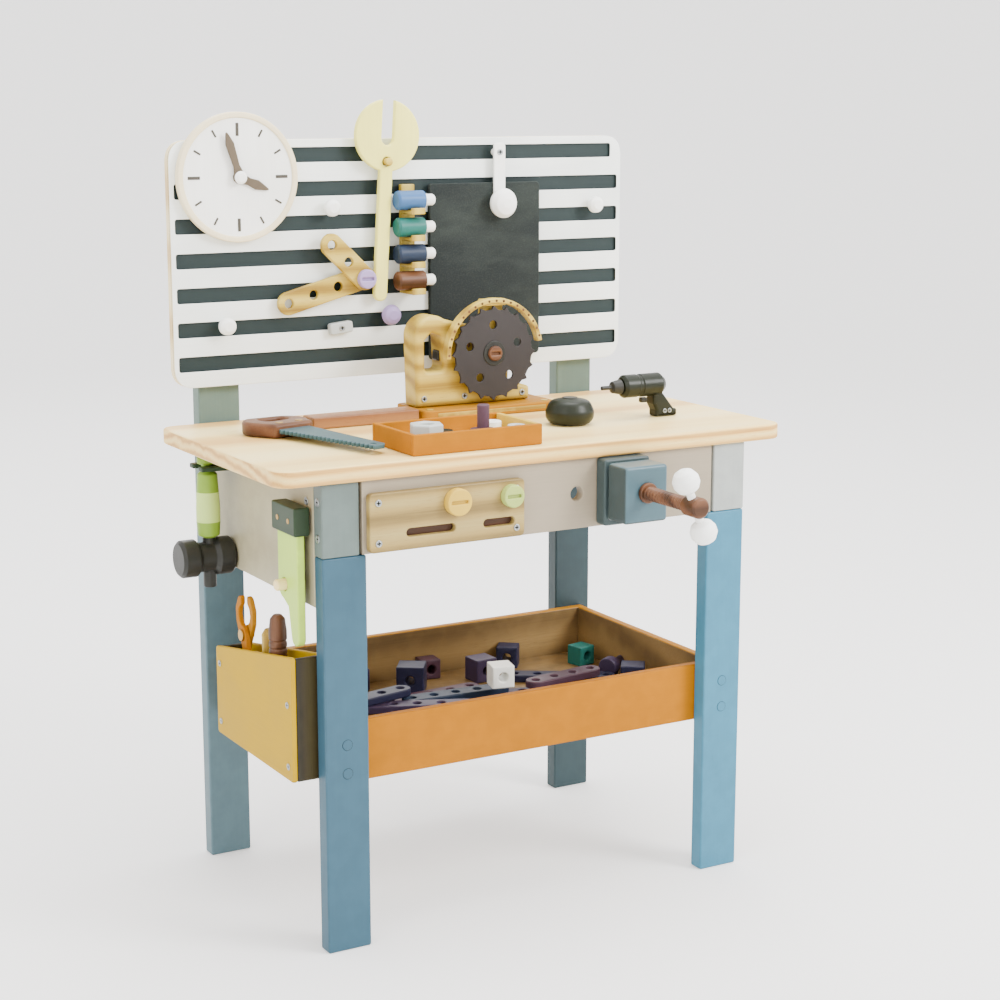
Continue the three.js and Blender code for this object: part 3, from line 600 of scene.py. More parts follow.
APRON_BOLTS = {"yellow": (SOFT_YELLOW, "yellow_paint"), "green": (SOFT_GREEN, "green_paint")}
PEG_HOLE = (42, 419)
STRIP_SLOTS, STRIP_SLOT_Z, STRIP_SLOT_HEIGHT = ((-123, 52), (-50, 34)), 402, 8
STRIP_SCREW_INSET = 9


def make_apron():
    b = node_box("front_apron")
    bolts = {colour: node_box(f"apron_bolt_{colour}") for colour in APRON_BOLTS}
    bolt_holes = [circle(bolt.cx, bolt.cz, 5.5) for bolt in bolts.values()]
    screw = node_box("vise_screw")
    holes = [*bolt_holes, circle(*PEG_HOLE, 7, 40), circle(screw.cx, screw.cz, 7.5, 40)]
    board = plate("front", rectangle(b.x0, b.x1, b.z0, b.z1), b.y0, b.y1, 1.2, holes)
    Piece("front_apron", "board").add(board, APRON_GREY).done("bench", "light_grey_paint")

    b = node_box("apron_strip")
    slots = [slot_outline(x, STRIP_SLOT_Z, long, STRIP_SLOT_HEIGHT) for x, long in STRIP_SLOTS]
    piece = Piece("apron_strip", "board")
    outline = rectangle(b.x0, b.x1, b.z0, b.z1, 5)
    piece.add(plate("front", outline, b.y0, b.y1, 1.4, [*bolt_holes, *slots]), APRON_TAN)
    inset = STRIP_SCREW_INSET
    for z in (b.z0 + inset, b.z1 - inset):
        for x in (b.x0 + inset, b.x1 - inset):
            screw_head(piece, (x, b.y0, z), FRONT, 3.4)
    # A brown sheet in each slot is painted shade in its recess.
    for slot in slots:
        piece.add(plate("front", slot, b.y1 - 1.2, b.y1 - 0.4, 0.1), BROWN)
    piece.done("bench", "cream_wood")

    for colour, (material, slot) in APRON_BOLTS.items():
        bolt = bolts[colour]
        radius = (bolt.x1 - bolt.x0) / 2
        piece = Piece(f"apron_bolt_{colour}", "turned")
        piece.add(lathe([(5, bolt.y1), (5, b.y0 - 1)], "Y", (bolt.cx, 0, bolt.cz)), BIRCH)
        back = b.y0 - 0.3
        slotted_head(piece, (bolt.cx, back, bolt.cz), FRONT, radius, back - bolt.y0, material)
        piece.done(f"apron_bolt_{colour}", slot)


# ---- table top ----

def make_tabletop():
    b = node_box("tabletop")
    bolt = node_box("table_bolt")
    outline = rectangle(b.x0, b.x1, b.y0, b.y1, 20, 14)
    board = plate("top", outline, b.z0, b.z1, 2.6, [circle(bolt.cx, bolt.cy, 7.3, 40)], 4)
    piece = Piece("tabletop", "board")
    piece.add(board, BIRCH, choose=lambda centre, normal: TABLE_EDGE if abs(normal.z) < 0.5 else None)
    piece.done("bench", "birch")


# ---- trays and pocket, each glued up from boards ----

def open_box(piece, b, wall, floor, walls, base, edge=1.4, inside=None):
    """Four boards around a floor, with a fine joint where they meet. walls names each board's
    material, and inside names the painted shade on the faces that look into the box."""
    joint = 0.15
    middle = Vector((b.cx, b.cy, 0))

    def inner_face(centre, normal):
        inward = normal.x * (middle.x - centre.x) + normal.y * (middle.y - centre.y)
        return inside if inside and abs(normal.z) < 0.5 and inward > 50 else None

    inner = (b.y0 + wall + joint, b.y1 - wall - joint)
    boards = {"front": (b.x0, b.x1, b.y0, b.y0 + wall), "rear": (b.x0, b.x1, b.y1 - wall, b.y1),
              "left": (b.x0, b.x0 + wall, *inner), "right": (b.x1 - wall, b.x1, *inner)}
    for place, sides in boards.items():
        piece.add(slab(*sides, b.z0, b.z1, edge), walls[place], choose=inner_face)
    across = (b.x0 + wall + joint, b.x1 - wall - joint)
    piece.add(slab(*across, *inner, b.z0 + 1, b.z0 + floor, 0.4), base)


def make_lower_tray():
    b = node_box("lower_tray")
    sides = {"front": ORANGE, "rear": DEEP_ORANGE, "left": DEEP_ORANGE, "right": DEEP_ORANGE}
    piece = Piece("lower_tray", "boards")
    # The inside faces and the floor take the painted shade.
    open_box(piece, b, 10, 8, sides, TRAY_SHADED_INSIDE, 1.8, TRAY_SHADED_INSIDE)
    for x in (b.x0 + 5, b.x1 - 5):
        for z in (b.z0 + 15, b.z1 - 15):
            screw_head(piece, (x, b.y1, z), BACK, 3.6)
    piece.done("bench", "orange_paint")


def make_pocket():
    b = node_box("tool_pocket")
    wall, floor, top_front, top_back = 5, 5, b.z1, 258
    slope = (top_back - top_front) / (b.y1 - b.y0)
    long_side = softened([(b.y0, b.z0), (b.y1, b.z0), (b.y1, top_back), (b.y0, top_front)], 4)
    piece = Piece("tool_pocket", "boards")
    piece.add(plate("side", long_side, b.x0, b.x0 + wall, 1.4), YELLOW)
    piece.add(plate("side", long_side, b.x1 - wall, b.x1, 1.4), YELLOW)
    between = (b.x0 + wall + 0.15, b.x1 - wall - 0.15)
    back_front = b.y1 - wall
    rear_top = top_back - slope * wall / 2 - 1
    piece.add(slab(*between, b.y0 + 0.6, b.y0 + wall, b.z0 + 0.6, top_front - 2, 1), POCKET_END)
    piece.add(slab(*between, back_front, b.y1 - 0.6, b.z0 + 0.6, rear_top, 1), POCKET_END)
    piece.add(slab(*between, b.y0 + wall, back_front, b.z0 + 0.6, b.z0 + floor, 0.5), POCKET_END)
    for y in (b.y0 + 10, b.y1 - 10):
        for z in (b.z0 + 14, b.z0 + 74):
            screw_head(piece, (b.x0, y, z), LEFT, 3.2)
    piece.done("bench", "yellow_paint")


# ---- back panel and what hangs on it ----

GROOVE_PITCH, GROOVE_FIRST, GROOVE_HEIGHT, GROOVE_DEPTH, GROOVE_COUNT = 34.7, 532, 15, 3, 7
PANEL_FRONT = 197.5
PANEL_PEGS = {"right": (234, 681), "middle": (-88, 686), "left": (-207, 570)}
LILAC_KNOB, GREY_BLOCK = (-21, 572), (-78, 561)
SPANNER_HOLE = (-26, 732)


def make_panel():
    b = node_box("back_panel")
    dowel = node_box("spanner")
    outline = rectangle(b.x0, b.x1, b.z0, b.z1, 22, 14)
    grooves = []
    for i in range(GROOVE_COUNT):
        z = GROOVE_FIRST + i * GROOVE_PITCH
        margin = 14 if i == GROOVE_COUNT - 1 else 5
        half = GROOVE_HEIGHT / 2
        grooves.append(rectangle(b.x0 + margin, b.x1 - margin, z - half, z + half, 2.5))

    def edge_or_groove(centre, normal):
        if abs(normal.y) > 0.6:
            return None
        nearest = round((centre.z - GROOVE_FIRST) / GROOVE_PITCH)
        off = abs(centre.z - GROOVE_FIRST - nearest * GROOVE_PITCH)
        inside = off < GROOVE_HEIGHT / 2 + 0.8 and b.x0 + 4 < centre.x < b.x1 - 4
        return GROOVE_GREY if inside and 0 <= nearest < GROOVE_COUNT else PALE_PLY

    layer = PANEL_FRONT + GROOVE_DEPTH
    piece = Piece("back_panel", "board")
    face = plate("front", outline, PANEL_FRONT, layer, 0.7, grooves)
    piece.add(face, PANEL_WHITE, choose=edge_or_groove)
    piece.add(plate("front", outline, layer + 0.02, b.y1, 0.7), PALE_PLY,
              choose=lambda centre, normal: GROOVE_GREY if normal.y < -0.6 else None)
    hang_x = dowel.cx - 1.6
    piece.add(lathe([(4, b.y0), (4, layer + 2)], "Y", (hang_x, 0, SPANNER_HOLE[1]), 1.0), CREAM)
    piece.done("bench", "panel_paint")


def make_panel_pieces():
    for place, (x, z) in PANEL_PEGS.items():
        peg = Piece(f"panel_peg_{place}")
        profile = [(4, 203), (4, 194), (7, 193), (9, 189), (8.5, 184), (5, 181.5)]
        peg.add(lathe(profile, "Y", (x, 0, z), 1.5), WHITE)
        peg.done("bench", "white_paint")
    knob = Piece("panel_knob_lilac")
    profile = [(4, 203), (4, 193), (9, 192), (11, 187), (9, 182), (5, 180)]
    knob.add(lathe(profile, "Y", (LILAC_KNOB[0], 0, LILAC_KNOB[1]), 1.5), LILAC)
    knob.done("bench", "lilac_paint")
    block = Piece("panel_block_grey")
    x, z = GREY_BLOCK
    block_front, block_back = 189, 197.2
    outline = rectangle(-13, 13, -6, 6, 3)
    block.add(plate("front", outline, block_front, block_back, 1.4), PALE_GREY, turned(x, z, -6))
    screw_head(block, (x, block_front, z), FRONT, 3.2)
    block.done("bench", "light_grey_wood")


HOUR_ANGLE, MINUTE_ANGLE = 112, -17  # clockwise from twelve


def clock_hand(node, body, length, width, angle, centre):
    b = node_box(node)
    waist, shoulder = width / 2, length - width * 1.7
    tip = [(waist * 0.75, 12), (waist, shoulder), (0, length), (-waist, shoulder), (-waist * 0.75, 12)]
    outline = [*arc(0, 0, 6.2, 150, 390, 18), *softened(tip, 2.0, 4, closed=False)]
    hand = plate("front", outline, b.y0, b.y1, 0.7, [circle(0, 0, 2.8)])
    Piece(node, "plate").add(hand, HAND_BROWN, turned(*centre, angle)).done(body, "hand_brown_paint")


def make_clock():
    b = node_box("clock_face")
    radius = (b.x1 - b.x0) / 2
    face = b.y0 + 2
    piece = Piece("clock_face", "disc")
    piece.add(lathe([(radius - 4, b.y1), (radius - 4, face)], "Y", (b.cx, 0, b.cz), 0.5, 96), WHITE)
    ring = circle(b.cx, b.cz, radius, 96)
    piece.add(plate("front", ring, b.y0, b.y1, 1.5, [circle(b.cx, b.cz, radius - 6, 96)], 3), RIM_CREAM)
    for hour in range(12):
        inner, half = (41, 1.6) if hour % 3 == 0 else (46, 1.0)
        tick = plate("front", rectangle(-half, half, inner, 54, 0.6), face - 0.5, face + 0.3, 0.2)
        piece.add(tick, TICK, turned(b.cx, b.cz, 30 * hour))
    piece.done("bench", "white_paint")
    clock_hand("clock_hour_hand", "hour_hand", 38, 10, HOUR_ANGLE, (b.cx, b.cz))
    clock_hand("clock_minute_hand", "minute_hand", 50, 9, MINUTE_ANGLE, (b.cx, b.cz))
    p = node_box("clock_pin")
    profile = [(2.5, p.y1), (2.5, p.y0 + 3.1), (6.5, p.y0 + 3.1), (6.5, p.y0 + 1.5), (4, p.y0)]
    shape = lathe(profile, "Y", (p.cx, 0, p.cz), 0.8)
    Piece("clock_pin", "turned").add(shape, WHITE).done("bench", "white_paint")


def make_chalkboard():
    b = node_box("chalkboard")
    strap = node_box("chalkboard_strap")
    hole_z = strap.z0 + 10
    hole = circle(strap.cx, hole_z, 4.5, 28)
    outline = rectangle(b.x0, b.x1, b.z0, b.z1, 5, 8)
    shape = plate("front", outline, b.y0, b.y1, 1.3, [hole], 3)
    Piece("chalkboard", "plate").add(shape, SLATE).done("chalkboard", "slate")

    piece = Piece("chalkboard_strap", "plate")
    outline = rectangle(strap.x0, strap.x1, strap.z0, strap.z1, 5, 8)
    piece.add(plate("front", outline, strap.y0, strap.y0 + 3, 0.9, [hole], 3), WHITE)
    stud_z = strap.z1 - 10
    piece.add(lathe([(4, strap.y1), (4, strap.y0 + 1)], "Y", (strap.cx, 0, stud_z)), WHITE)
    screw_head(piece, (strap.cx, strap.y0, stud_z), FRONT, 3.4)
    piece.done("chalkboard", "white_paint")

    k = node_box("chalkboard_knob")
    profile = [(4, k.y1), (4, strap.y0 - 0.3), (9, strap.y0 - 0.3), (15, k.y0 + 13.5), (16, k.y0 + 8.5),
               (12, k.y0 + 2.5), (5, k.y0)]
    shape = lathe(profile, "Y", (k.cx, 0, k.cz), 3.0, 56)
    Piece("chalkboard_knob", "turned").add(shape, WHITE).done("chalkboard", "white_paint")


def make_spanner():
    b = node_box("spanner")
    head_z, head, mouth, neck = 27, 37, 7, 7.5
    neck_angle = math.degrees(math.acos(neck / head))
    mouth_angle = math.degrees(math.acos(mouth / head))
    outline = [
        *arc(0, -137.5, neck, 180, 360, 14),
        *arc(0, head_z, head, -neck_angle, mouth_angle, 36),
        *arc(0, head_z - 3, mouth, 0, -180, 16),
        *arc(0, head_z, head, 180 - mouth_angle, 180 + neck_angle, 36),
    ]
    shape = plate("front", outline, b.y0, b.y1, 1.8, [circle(0, 0, 4.8)], 3)
    place = turned(*SPANNER_HOLE, 3.5)
    Piece("spanner", "plate").add(shape, PALE_YELLOW, place).done("spanner", "pale_yellow_paint")


RACK_BOLTS = {"brown": (608, BROWN, "brown_wood"), "navy": (636, RACK_NAVY, "rack_navy"),
              "teal": (664, RACK_TEAL, "rack_teal"), "blue": (692, RACK_BLUE, "rack_blue")}


def make_rack():
    b = node_box("bolt_rack")
    seat_drop, shelf, lip, plate_back, lip_thick = 10.3, 4, 2.5, 6, 3
    outline = [(b.y1, b.z1), (b.y1, b.z0)]
    for i, (z, _, _) in enumerate(RACK_BOLTS.values()):
        seat = z - seat_drop
        if i > 0:
            outline.append((b.y1 - plate_back, seat - shelf))
        outline += [(b.y0, seat - shelf), (b.y0, seat + lip), (b.y0 + lip_thick, seat + lip),
                    (b.y0 + lip_thick, seat), (b.y1 - plate_back, seat)]
    outline.append((b.y1 - plate_back, b.z1))
    shape = plate("side", softened(outline, 0.8, 3), b.x0, b.x1, 1.0)
    Piece("bolt_rack", "shelves").add(shape, CREAM_UPRIGHT).done("bench", "cream_wood")

    for colour, (z, material, slot) in RACK_BOLTS.items():
        n = node_box(f"rack_bolt_{colour}")
        piece = Piece(f"rack_bolt_{colour}", "turned")
        at = (0, n.cy, n.cz)
        neck = n.x1 - 13
        piece.add(lathe([(8, n.x0), (10, n.x0 + 2), (10, neck)], "X", at, 1.0), material)
        piece.add(lathe([(6, neck - 0.3), (6, n.x1 - 2), (4.5, n.x1)], "X", at, 1.0), WHITE)
        piece.done(f"bolt_{colour}", slot)


def make_strips():
    pivot = node_box("strip_bolt")
    for name, holes, pitch, angle in (("long", 4, 29, -15), ("short", 3, 26, 44)):
        node = f"perforated_strip_{name}"
        b = node_box(node)
        far = -(holes - 1) * pitch
        outline = arc(0, 0, 12, -90, 90, 20) + arc(far, 0, 12, 90, 270, 20)
        rounds = [circle(-i * pitch, 0, 4.8, 28) for i in range(holes)]
        strip = plate("front", outline, b.y0, b.y1, 1.4, rounds, 3)
        place = turned(pivot.cx, pivot.cz, angle)
        Piece(node, "plate").add(strip, CREAM, place).done(f"strip_{name}", "cream_wood")
    piece = Piece("strip_bolt", "turned")
    back = pivot.y0 + 6.5
    piece.add(lathe([(4, pivot.y1), (4, back - 1)], "Y", (pivot.cx, 0, pivot.cz)), BIRCH)
    slotted_head(piece, (pivot.cx, back, pivot.cz), FRONT, 10, 6.5, LILAC)
    piece.done("bench", "lilac_paint")


# ---- vise ----

THREAD_PITCH, BAR_LEAN = 5.0, -23


def vise_jaw(node, body, material, slot, edge, choose=None):
    b, screw = node_box(node), node_box("vise_screw")
    outline = rectangle(b.x0, b.x1, b.z0, b.z1, 4, 6)
    hole = circle(screw.cx, screw.cz, 7.5, 40)
    piece = Piece(node, "block")
    piece.add(plate("front", outline, b.y0, b.y1, edge, [hole], 3), material, choose=choose)
    if body == "bench":
        for z in (b.z0 + 9, b.z1 - 9):
            screw_head(piece, (b.x0 + 8, b.y0, z), FRONT, 3.4)
    piece.done(body, slot)


def make_vise():
    vise_jaw("vise_fixed_jaw", "bench", TEAL, "teal_paint", 2.2)
    vise_jaw("vise_moving_jaw", "vise_jaw", VISE_BLUE, "vise_blue_paint", 3.0,
             lambda centre, normal: TEAL if abs(normal.x) > 0.7 or normal.z < -0.5 else None)

    s, bar = node_box("vise_screw"), node_box("vise_bar")
    collar_back = node_box("vise_moving_jaw").y0 - 0.3
    at = (s.cx, 0, s.cz)
    piece = Piece("vise_screw", "turned")
    piece.add(thread(7.0, 1.1, THREAD_PITCH, bar.cy + 10, s.y1, at), BROWN)
    piece.add(lathe([(10, collar_back), (10, collar_back - 4.7)], "Y", at, 1.2), BROWN)
    head = [(7, bar.cy + 11), (10, bar.cy + 10), (10, bar.cy - 9), (8, s.y0)]
    piece.add(lathe(head, "Y", at, 1.2), BROWN)
    piece.done("vise_screw", "brown_wood")

    piece = Piece("vise_bar", "turned")
    lean = Matrix.Translation((0, bar.cy, 0)) @ turned(bar.cx, bar.cz, BAR_LEAN)
    piece.add(lathe([(4, -30), (4, 30)]), WHITE, lean)
    ball = [(5, 15.5), (10, 18.5), (12.9, 24), (12.9, 30), (9, 36.5), (4, 39)]
    for flip in (Matrix.Rotation(math.pi, 4, "X"), Matrix.Identity(4)):
        piece.add(lathe(ball, soft=3.5, steps=56), WHITE, lean @ flip)
    piece.done("vise_bar", "white_paint")


# ---- tools on the table ----

def make_saw_base():
    b = node_box("saw_base")
    piece = Piece("saw_base", "plate")
    outline = rectangle(b.x0, b.x1, b.y0, b.y1, 8, 8)
    piece.add(plate("top", outline, b.z0, b.z1, 1.6, round_steps=3), DEEP_ORANGE)
    for x in (b.x0 + 10, b.x1 - 10):
        for y in (b.y0 + 10, b.y1 - 10):
            plug(piece, (x, y, b.z1), UP, CREAM, 4.0)
    inlay = slab(b.x0 + 14, b.x1 - 14, b.y0 - 0.6, b.y0 + 1.5, b.z0 + 3, b.z1 - 3, 0.5)
    piece.add(inlay, CREAM)
    piece.done("saw", "orange_paint")


def make_saw_body(hub, hub_x, hub_z):
    """The block with its grip, cap and cooling slots. Its shape is drawn around the blade's hub."""
    b = node_box("saw_body")
    floor = b.z0 - hub_z
    shape = [(-86, floor), (50, floor), (50, floor + 14), (24, floor + 22),
             *arc(0, 0, 30, -34, 112, 20), (-40, 34), *arc(-66, 20, 22, 54, 180, 16)]
    grip = softened([(-76, -16), (-54, -16), (-56, 20), (-68, 24), (-76, 16)], 5)
    piece = Piece("saw_body", "block")
    piece.add(plate("front", softened(shape, 4, 4), b.y0, b.y1, 4.5, [grip], 4), CREAM, hub)
    trigger = softened([(-57, 4), (-50, 6), (-50, -8), (-58, -6)], 2)
    piece.add(plate("front", trigger, b.y0 + 9, b.y1 - 9, 1.5), STEEL_GREY, hub)
    cap = [(27, b.y1 - 1), (27, b.y1 + 4), (20, b.y1 + 7)]
    piece.add(lathe(cap, "Y", (hub_x, 0, hub_z), 1.5, 56), BROWN)
    for i in range(4):
        slot = plate("front", slot_outline(0, 0, 15, 2.4), b.y0 - 0.25, b.y0 + 1, 0.2)
        piece.add(slot, BROWN, hub @ turned(-36 + i * 5.5, 14, 90))
    for x, z in ((-78, floor + 9), (-30, floor + 9), (40, floor + 8)):
        screw_head(piece, (hub_x + x, b.y0, hub_z + z), FRONT, 3.4)
    piece.done("saw", "cream_wood")


def make_saw_guard(hub):
    b = node_box("saw_guard")
    piece = Piece("saw_guard", "hoop")
    outer, inner, hoop_back = 58, 53, b.y0 + 10
    ring = arc(0, 0, outer, 11, 183, 60) + arc(0, 0, inner, 183, 11, 60)
    piece.add(plate("front", ring, b.y0, hoop_back, 1.0), CREAM, hub)
    for angle in range(17, 180, 9):
        u, v = at_angle((outer + inner) / 2, angle)
        dot = lathe([(1.35, b.y0 - 0.25), (1.35, b.y0 + 1)], "Y", (u, 0, v), 0.2, 16)
        piece.add(dot, BROWN, hub)
    piece.add(slab(-14, 14, b.y0 + 3, b.y1, 50, 57, 1.0), CREAM, hub)
    piece.add(slab(-14, 14, hoop_back, b.y1, 22, 54, 0.8), CREAM, hub)
    piece.done("saw", "cream_wood")


def make_saw_blade(hub):
    b = node_box("saw_blade")
    teeth, radius, depth = 20, 50, 4
    rim = []
    for i in range(teeth):
        start = 360 * i / teeth
        rim += [at_angle(radius, start), at_angle(radius - depth, start + 3),
                at_angle(radius - depth, start + 12)]
    vents = [circle(*at_angle(30, 72 * i + 20), 4.5, 24) for i in range(5)]
    middle = b.y0 + 6
    piece = Piece("saw_blade", "disc")
    piece.add(plate("front", rim, middle - 1.5, middle + 1.5, 0.5, vents), BLADE_GREY, hub)
    axle = [(4.5, b.y1), (4.5, middle + 4), (13, middle + 3), (13, middle - 2.6)]
    piece.add(lathe(axle, "Y", (b.cx, 0, b.cz)), STEEL_GREY)
    slotted_head(piece, (b.cx, middle - 2.4, b.cz), FRONT, 8, 3.5, BROWN)
    piece.done("saw_blade", "dark_grey_paint")


def make_circular_saw():
    blade = node_box("saw_blade")
    hub = turned(blade.cx, blade.cz, 0)
    make_saw_base()
    make_saw_body(hub, blade.cx, blade.cz)
    make_saw_guard(hub)
    make_saw_blade(hub)


def make_parts_tray():
    b = node_box("parts_tray")
    piece = Piece("parts_tray", "boards")
    walls = {"front": ORANGE, "rear": ORANGE, "left": ORANGE, "right": SOFT_YELLOW}
    open_box(piece, b, 5, 4, walls, BIRCH, 1.0)
    piece.done("parts_tray", "orange_paint")

    n = node_box("loose_nut")
    six_sides = softened(arc(n.cx, n.cy, 17, 11.5, 371.5, 6)[:-1], 1.5, 4)
    shape = plate("top", six_sides, n.z0, n.z1, 1.8, [circle(n.cx, n.cy, 7)], 3)
    Piece("loose_nut", "block").add(shape, PALE_GREY).done("loose_nut", "light_grey_wood")

    n = node_box("loose_bolt")
    profile = [(13, n.z0), (13, n.z0 + 9), (6, n.z0 + 10), (6, n.z1 - 1), (5, n.z1)]
    shape = lathe(profile, "Z", (n.cx, n.cy, 0), 1.2)
    Piece("loose_bolt", "turned").add(shape, PLUM).done("loose_bolt", "plum_paint")

    floor = b.z0 + 4
    rings = Piece("parts_tray_pieces")
    for x, y, high, material in ((-70, -20, 8, OLIVE), (-12, -60, 14, PALE_GREY), (-14, -16, 12, WHITE),
                                 (-66, -62, 12, PALE_GREY), (-120, -8, 8, PLUM)):
        hole = [circle(x, y, 3.6, 24)]
        rings.add(plate("top", circle(x, y, 9, 40), floor, floor + high, 1.2, hole, 3), material)
    rings.done("parts_tray")


def make_plank():
    Piece("plank", "board").add(box_slab(node_box("plank"), 1.6), PLANK_BROWN).done("plank", "birch")


def make_hand_saw():
    blade, handle = node_box("handsaw_blade"), node_box("handsaw_handle")
    place = Matrix.Translation((-182, 83.5, 0)) @ Matrix.Rotation(-1.34, 4, "Z")
    teeth = 22
    start, end = Vector((8, -22)), Vector((138, -13))
    edge = []
    for i in range(teeth, 0, -1):
        low, high = start.lerp(end, (i - 1) / teeth), start.lerp(end, i / teeth)
        edge += [tuple(high), tuple(low.lerp(high, 0.25) + Vector((0, 3.4)))]
    outline = [(-16, -19), (-16, 19), (132, 6), (138, 0), *edge, (8, -22), (0, -19)]
    shape = plate("top", outline, blade.z0, blade.z1, 0.7, [circle(126, -3, 3, 24)])
    Piece("handsaw_blade", "plate").add(shape, SAW_TEAL, place).done("hand_saw", "teal_paint")

    grip = [(2, -24), (2, 22), *arc(-24, 8, 22, 54, 162, 16), *arc(-30, -14, 22, 198, 288, 14)]
    finger = rectangle(-40, -22, -17, 13, 8, 8)
    piece = Piece("handsaw_handle", "block")
    outline = softened(grip, 4, 4)
    piece.add(plate("top", outline, handle.z0, handle.z1, 3.2, [finger], 4), BROWN, place)
    for v in (-12, 12):
        spot = place @ Vector((-8, v, handle.z1))
        piece.add(lathe([(4, -1), (4, 0.5)], "Z", spot, 0.4, 28), BRASS)
    piece.done("hand_saw", "brown_wood")


def make_drill():
    body, chuck, trigger = (node_box(f"drill_{n}") for n in ("body", "chuck", "trigger"))
    y, z = body.cy, chuck.cz
    steps = ((9, 0), (12, 3), (12, 18), (11, 19), (11, 22), (12, 23), (12, 46), (7, 52))
    barrel = [(radius, body.x0 + along) for radius, along in steps]
    piece = Piece("drill_body", "block")
    piece.add(lathe(barrel, "X", (0, y, z), 1.2), OLIVE)
    hub, floor = body.x0 + 26, body.z0
    grip = [(hub + 2, z - 6), (hub + 20, z - 6), (hub + 36, floor + 8), (hub + 40, floor + 7),
            (hub + 40, floor), (hub + 14, floor), (hub + 14, floor + 7),
            (hub + 10.5, z - 20), (hub + 10.5, z - 10)]
    piece.add(plate("front", softened(grip, 2, 4), y - 8, y + 8, 3.0, round_steps=4), OLIVE)
    for x in (hub + 24, hub + 30):
        screw_head(piece, (x, y - 8, floor + 6), FRONT, 2.4)
    piece.done("drill", "olive_paint")

    shape = box_slab(trigger, 1.2)
    Piece("drill_trigger", "block").add(shape, STEEL_GREY).done("drill_trigger", "dark_grey_paint")

    steps = ((2.2, 0), (2.2, 12), (6, 13), (8, 23), (4, 23.6))
    profile = [*((radius, chuck.x0 + along) for radius, along in steps), (4, chuck.x1)]
    shape = lathe(profile, "X", (0, chuck.cy, chuck.cz), 0.8)
    Piece("drill_chuck", "turned").add(shape, STEEL_GREY).done("drill_chuck", "dark_grey_paint")


def make_table_bolt():
    b = node_box("table_bolt")
    top = node_box("tabletop").z1
    piece = Piece("table_bolt", "turned")
    piece.add(lathe([(6.2, b.z0), (6.7, b.z0 + 2), (6.7, top + 1)], "Z", (b.cx, b.cy, 0)), OLIVE)
    crown = [(19, top + 0.3), (24.7, top + 6), (25.1, top + 14), (20.5, top + 24.5), (7, top + 27.5)]
    piece.add(lathe(crown, "Z", (b.cx, b.cy, 0), 9, 64), OLIVE)
    piece.add(lathe([(8, top + 26), (8, b.z1)], "Z", (b.cx, b.cy, 0), 0.8), STEEL_GREY)
    piece.done("table_bolt", "olive_paint")


# ---- tools on the left side ----

def make_hammer():
    head, handle, hook = (node_box(f"hammer_{n}") for n in ("head", "handle", "hook"))
    r = (head.z1 - head.z0) / 2
    x0, x1 = head.x0, head.x1
    profile = [(r - 3, x0), (r, x0 + 3), (r, x0 + 17), (r - 4, x0 + 21), (r - 4, x1 - 21), (r, x1 - 17),
               (r, x1 - 3), (r - 3, x1)]
    shape = lathe(profile, "X", (0, head.cy, head.cz), 1.6, 64)
    Piece("hammer_head", "turned").add(shape, STEEL_GREY).done("hammer", "dark_grey_paint")

    z = head.cz
    steps = ((6.6, -31), (6.6, 20), (11, 22), (12, 36), (12, 37), (12, 50), (11.2, 66), (11.1, 67),
             (10, 84), (5.5, 88), (5.5, 93.5), (10, 94.5), (10, 100), (7, 103))
    grip = [(radius, z + along) for radius, along in steps]
    piece = Piece("hammer_handle", "turned")
    at = (handle.cx, handle.cy, 0)
    # The lighter band on the grip is a painted highlight on the handle's green.
    bands = ((z + 20, STEEL_GREY), (z + 36.5, GREEN), (z + 66.5, HIGHLIGHT_GREEN), (z + 200, GREEN))
    piece.add(lathe(grip, "Z", at, 2.0, 56), GREEN,
              choose=lambda centre, normal: next(paint for top, paint in bands if centre.z < top))
    piece.done("hammer", "green_paint")

    cx, cy = handle.cx, handle.cy
    mouth = cx - 12
    outline = [(hook.x1, cy - 20), (hook.x1, cy + 20), (mouth, cy + 17), (mouth, cy + 6.5),
               *arc(cx, cy, 6.5, 90, -90, 18), (mouth, cy - 6.5), (mouth, cy - 17)]
    shape = plate("top", softened(outline, 2, 4), hook.z0, hook.z1, 1.0)
    Piece("hammer_hook", "plate").add(shape, DARK_GREEN).done("bench", "dark_green_paint")


def make_try_square():
    b = node_box("try_square")
    y, z = SIDE_DOWEL_Y, SIDE_DOWEL_Z
    shape = [(-30, 60), (-30, -46), *arc(-22, -47, 8, 180, 342, 14), (-8, -20),
             *arc(2, -2, 12, -81, 0, 10), (14, 60)]
    piece = Piece("try_square", "plates")
    outline = [(y + u, z + v) for u, v in shape]
    blade = plate("side", outline, b.cx - 4, b.cx + 4, 1.3, [circle(y, z, 6.3)], 3)
    piece.add(blade, BLADE_GREEN)
    piece.add(slab(b.x0, b.x1, b.y0, b.y1, z + 51, b.z1, 1.8), DARK_GREEN)
    for v in (14, 38):
        rivet = lathe([(2.6, b.x0 - 0.4), (2.6, b.x0 + 1)], "X", (0, b.y0 + v, z + 64), 0.3, 24)
        piece.add(rivet, BRASS)
    piece.done("try_square", "green_paint")


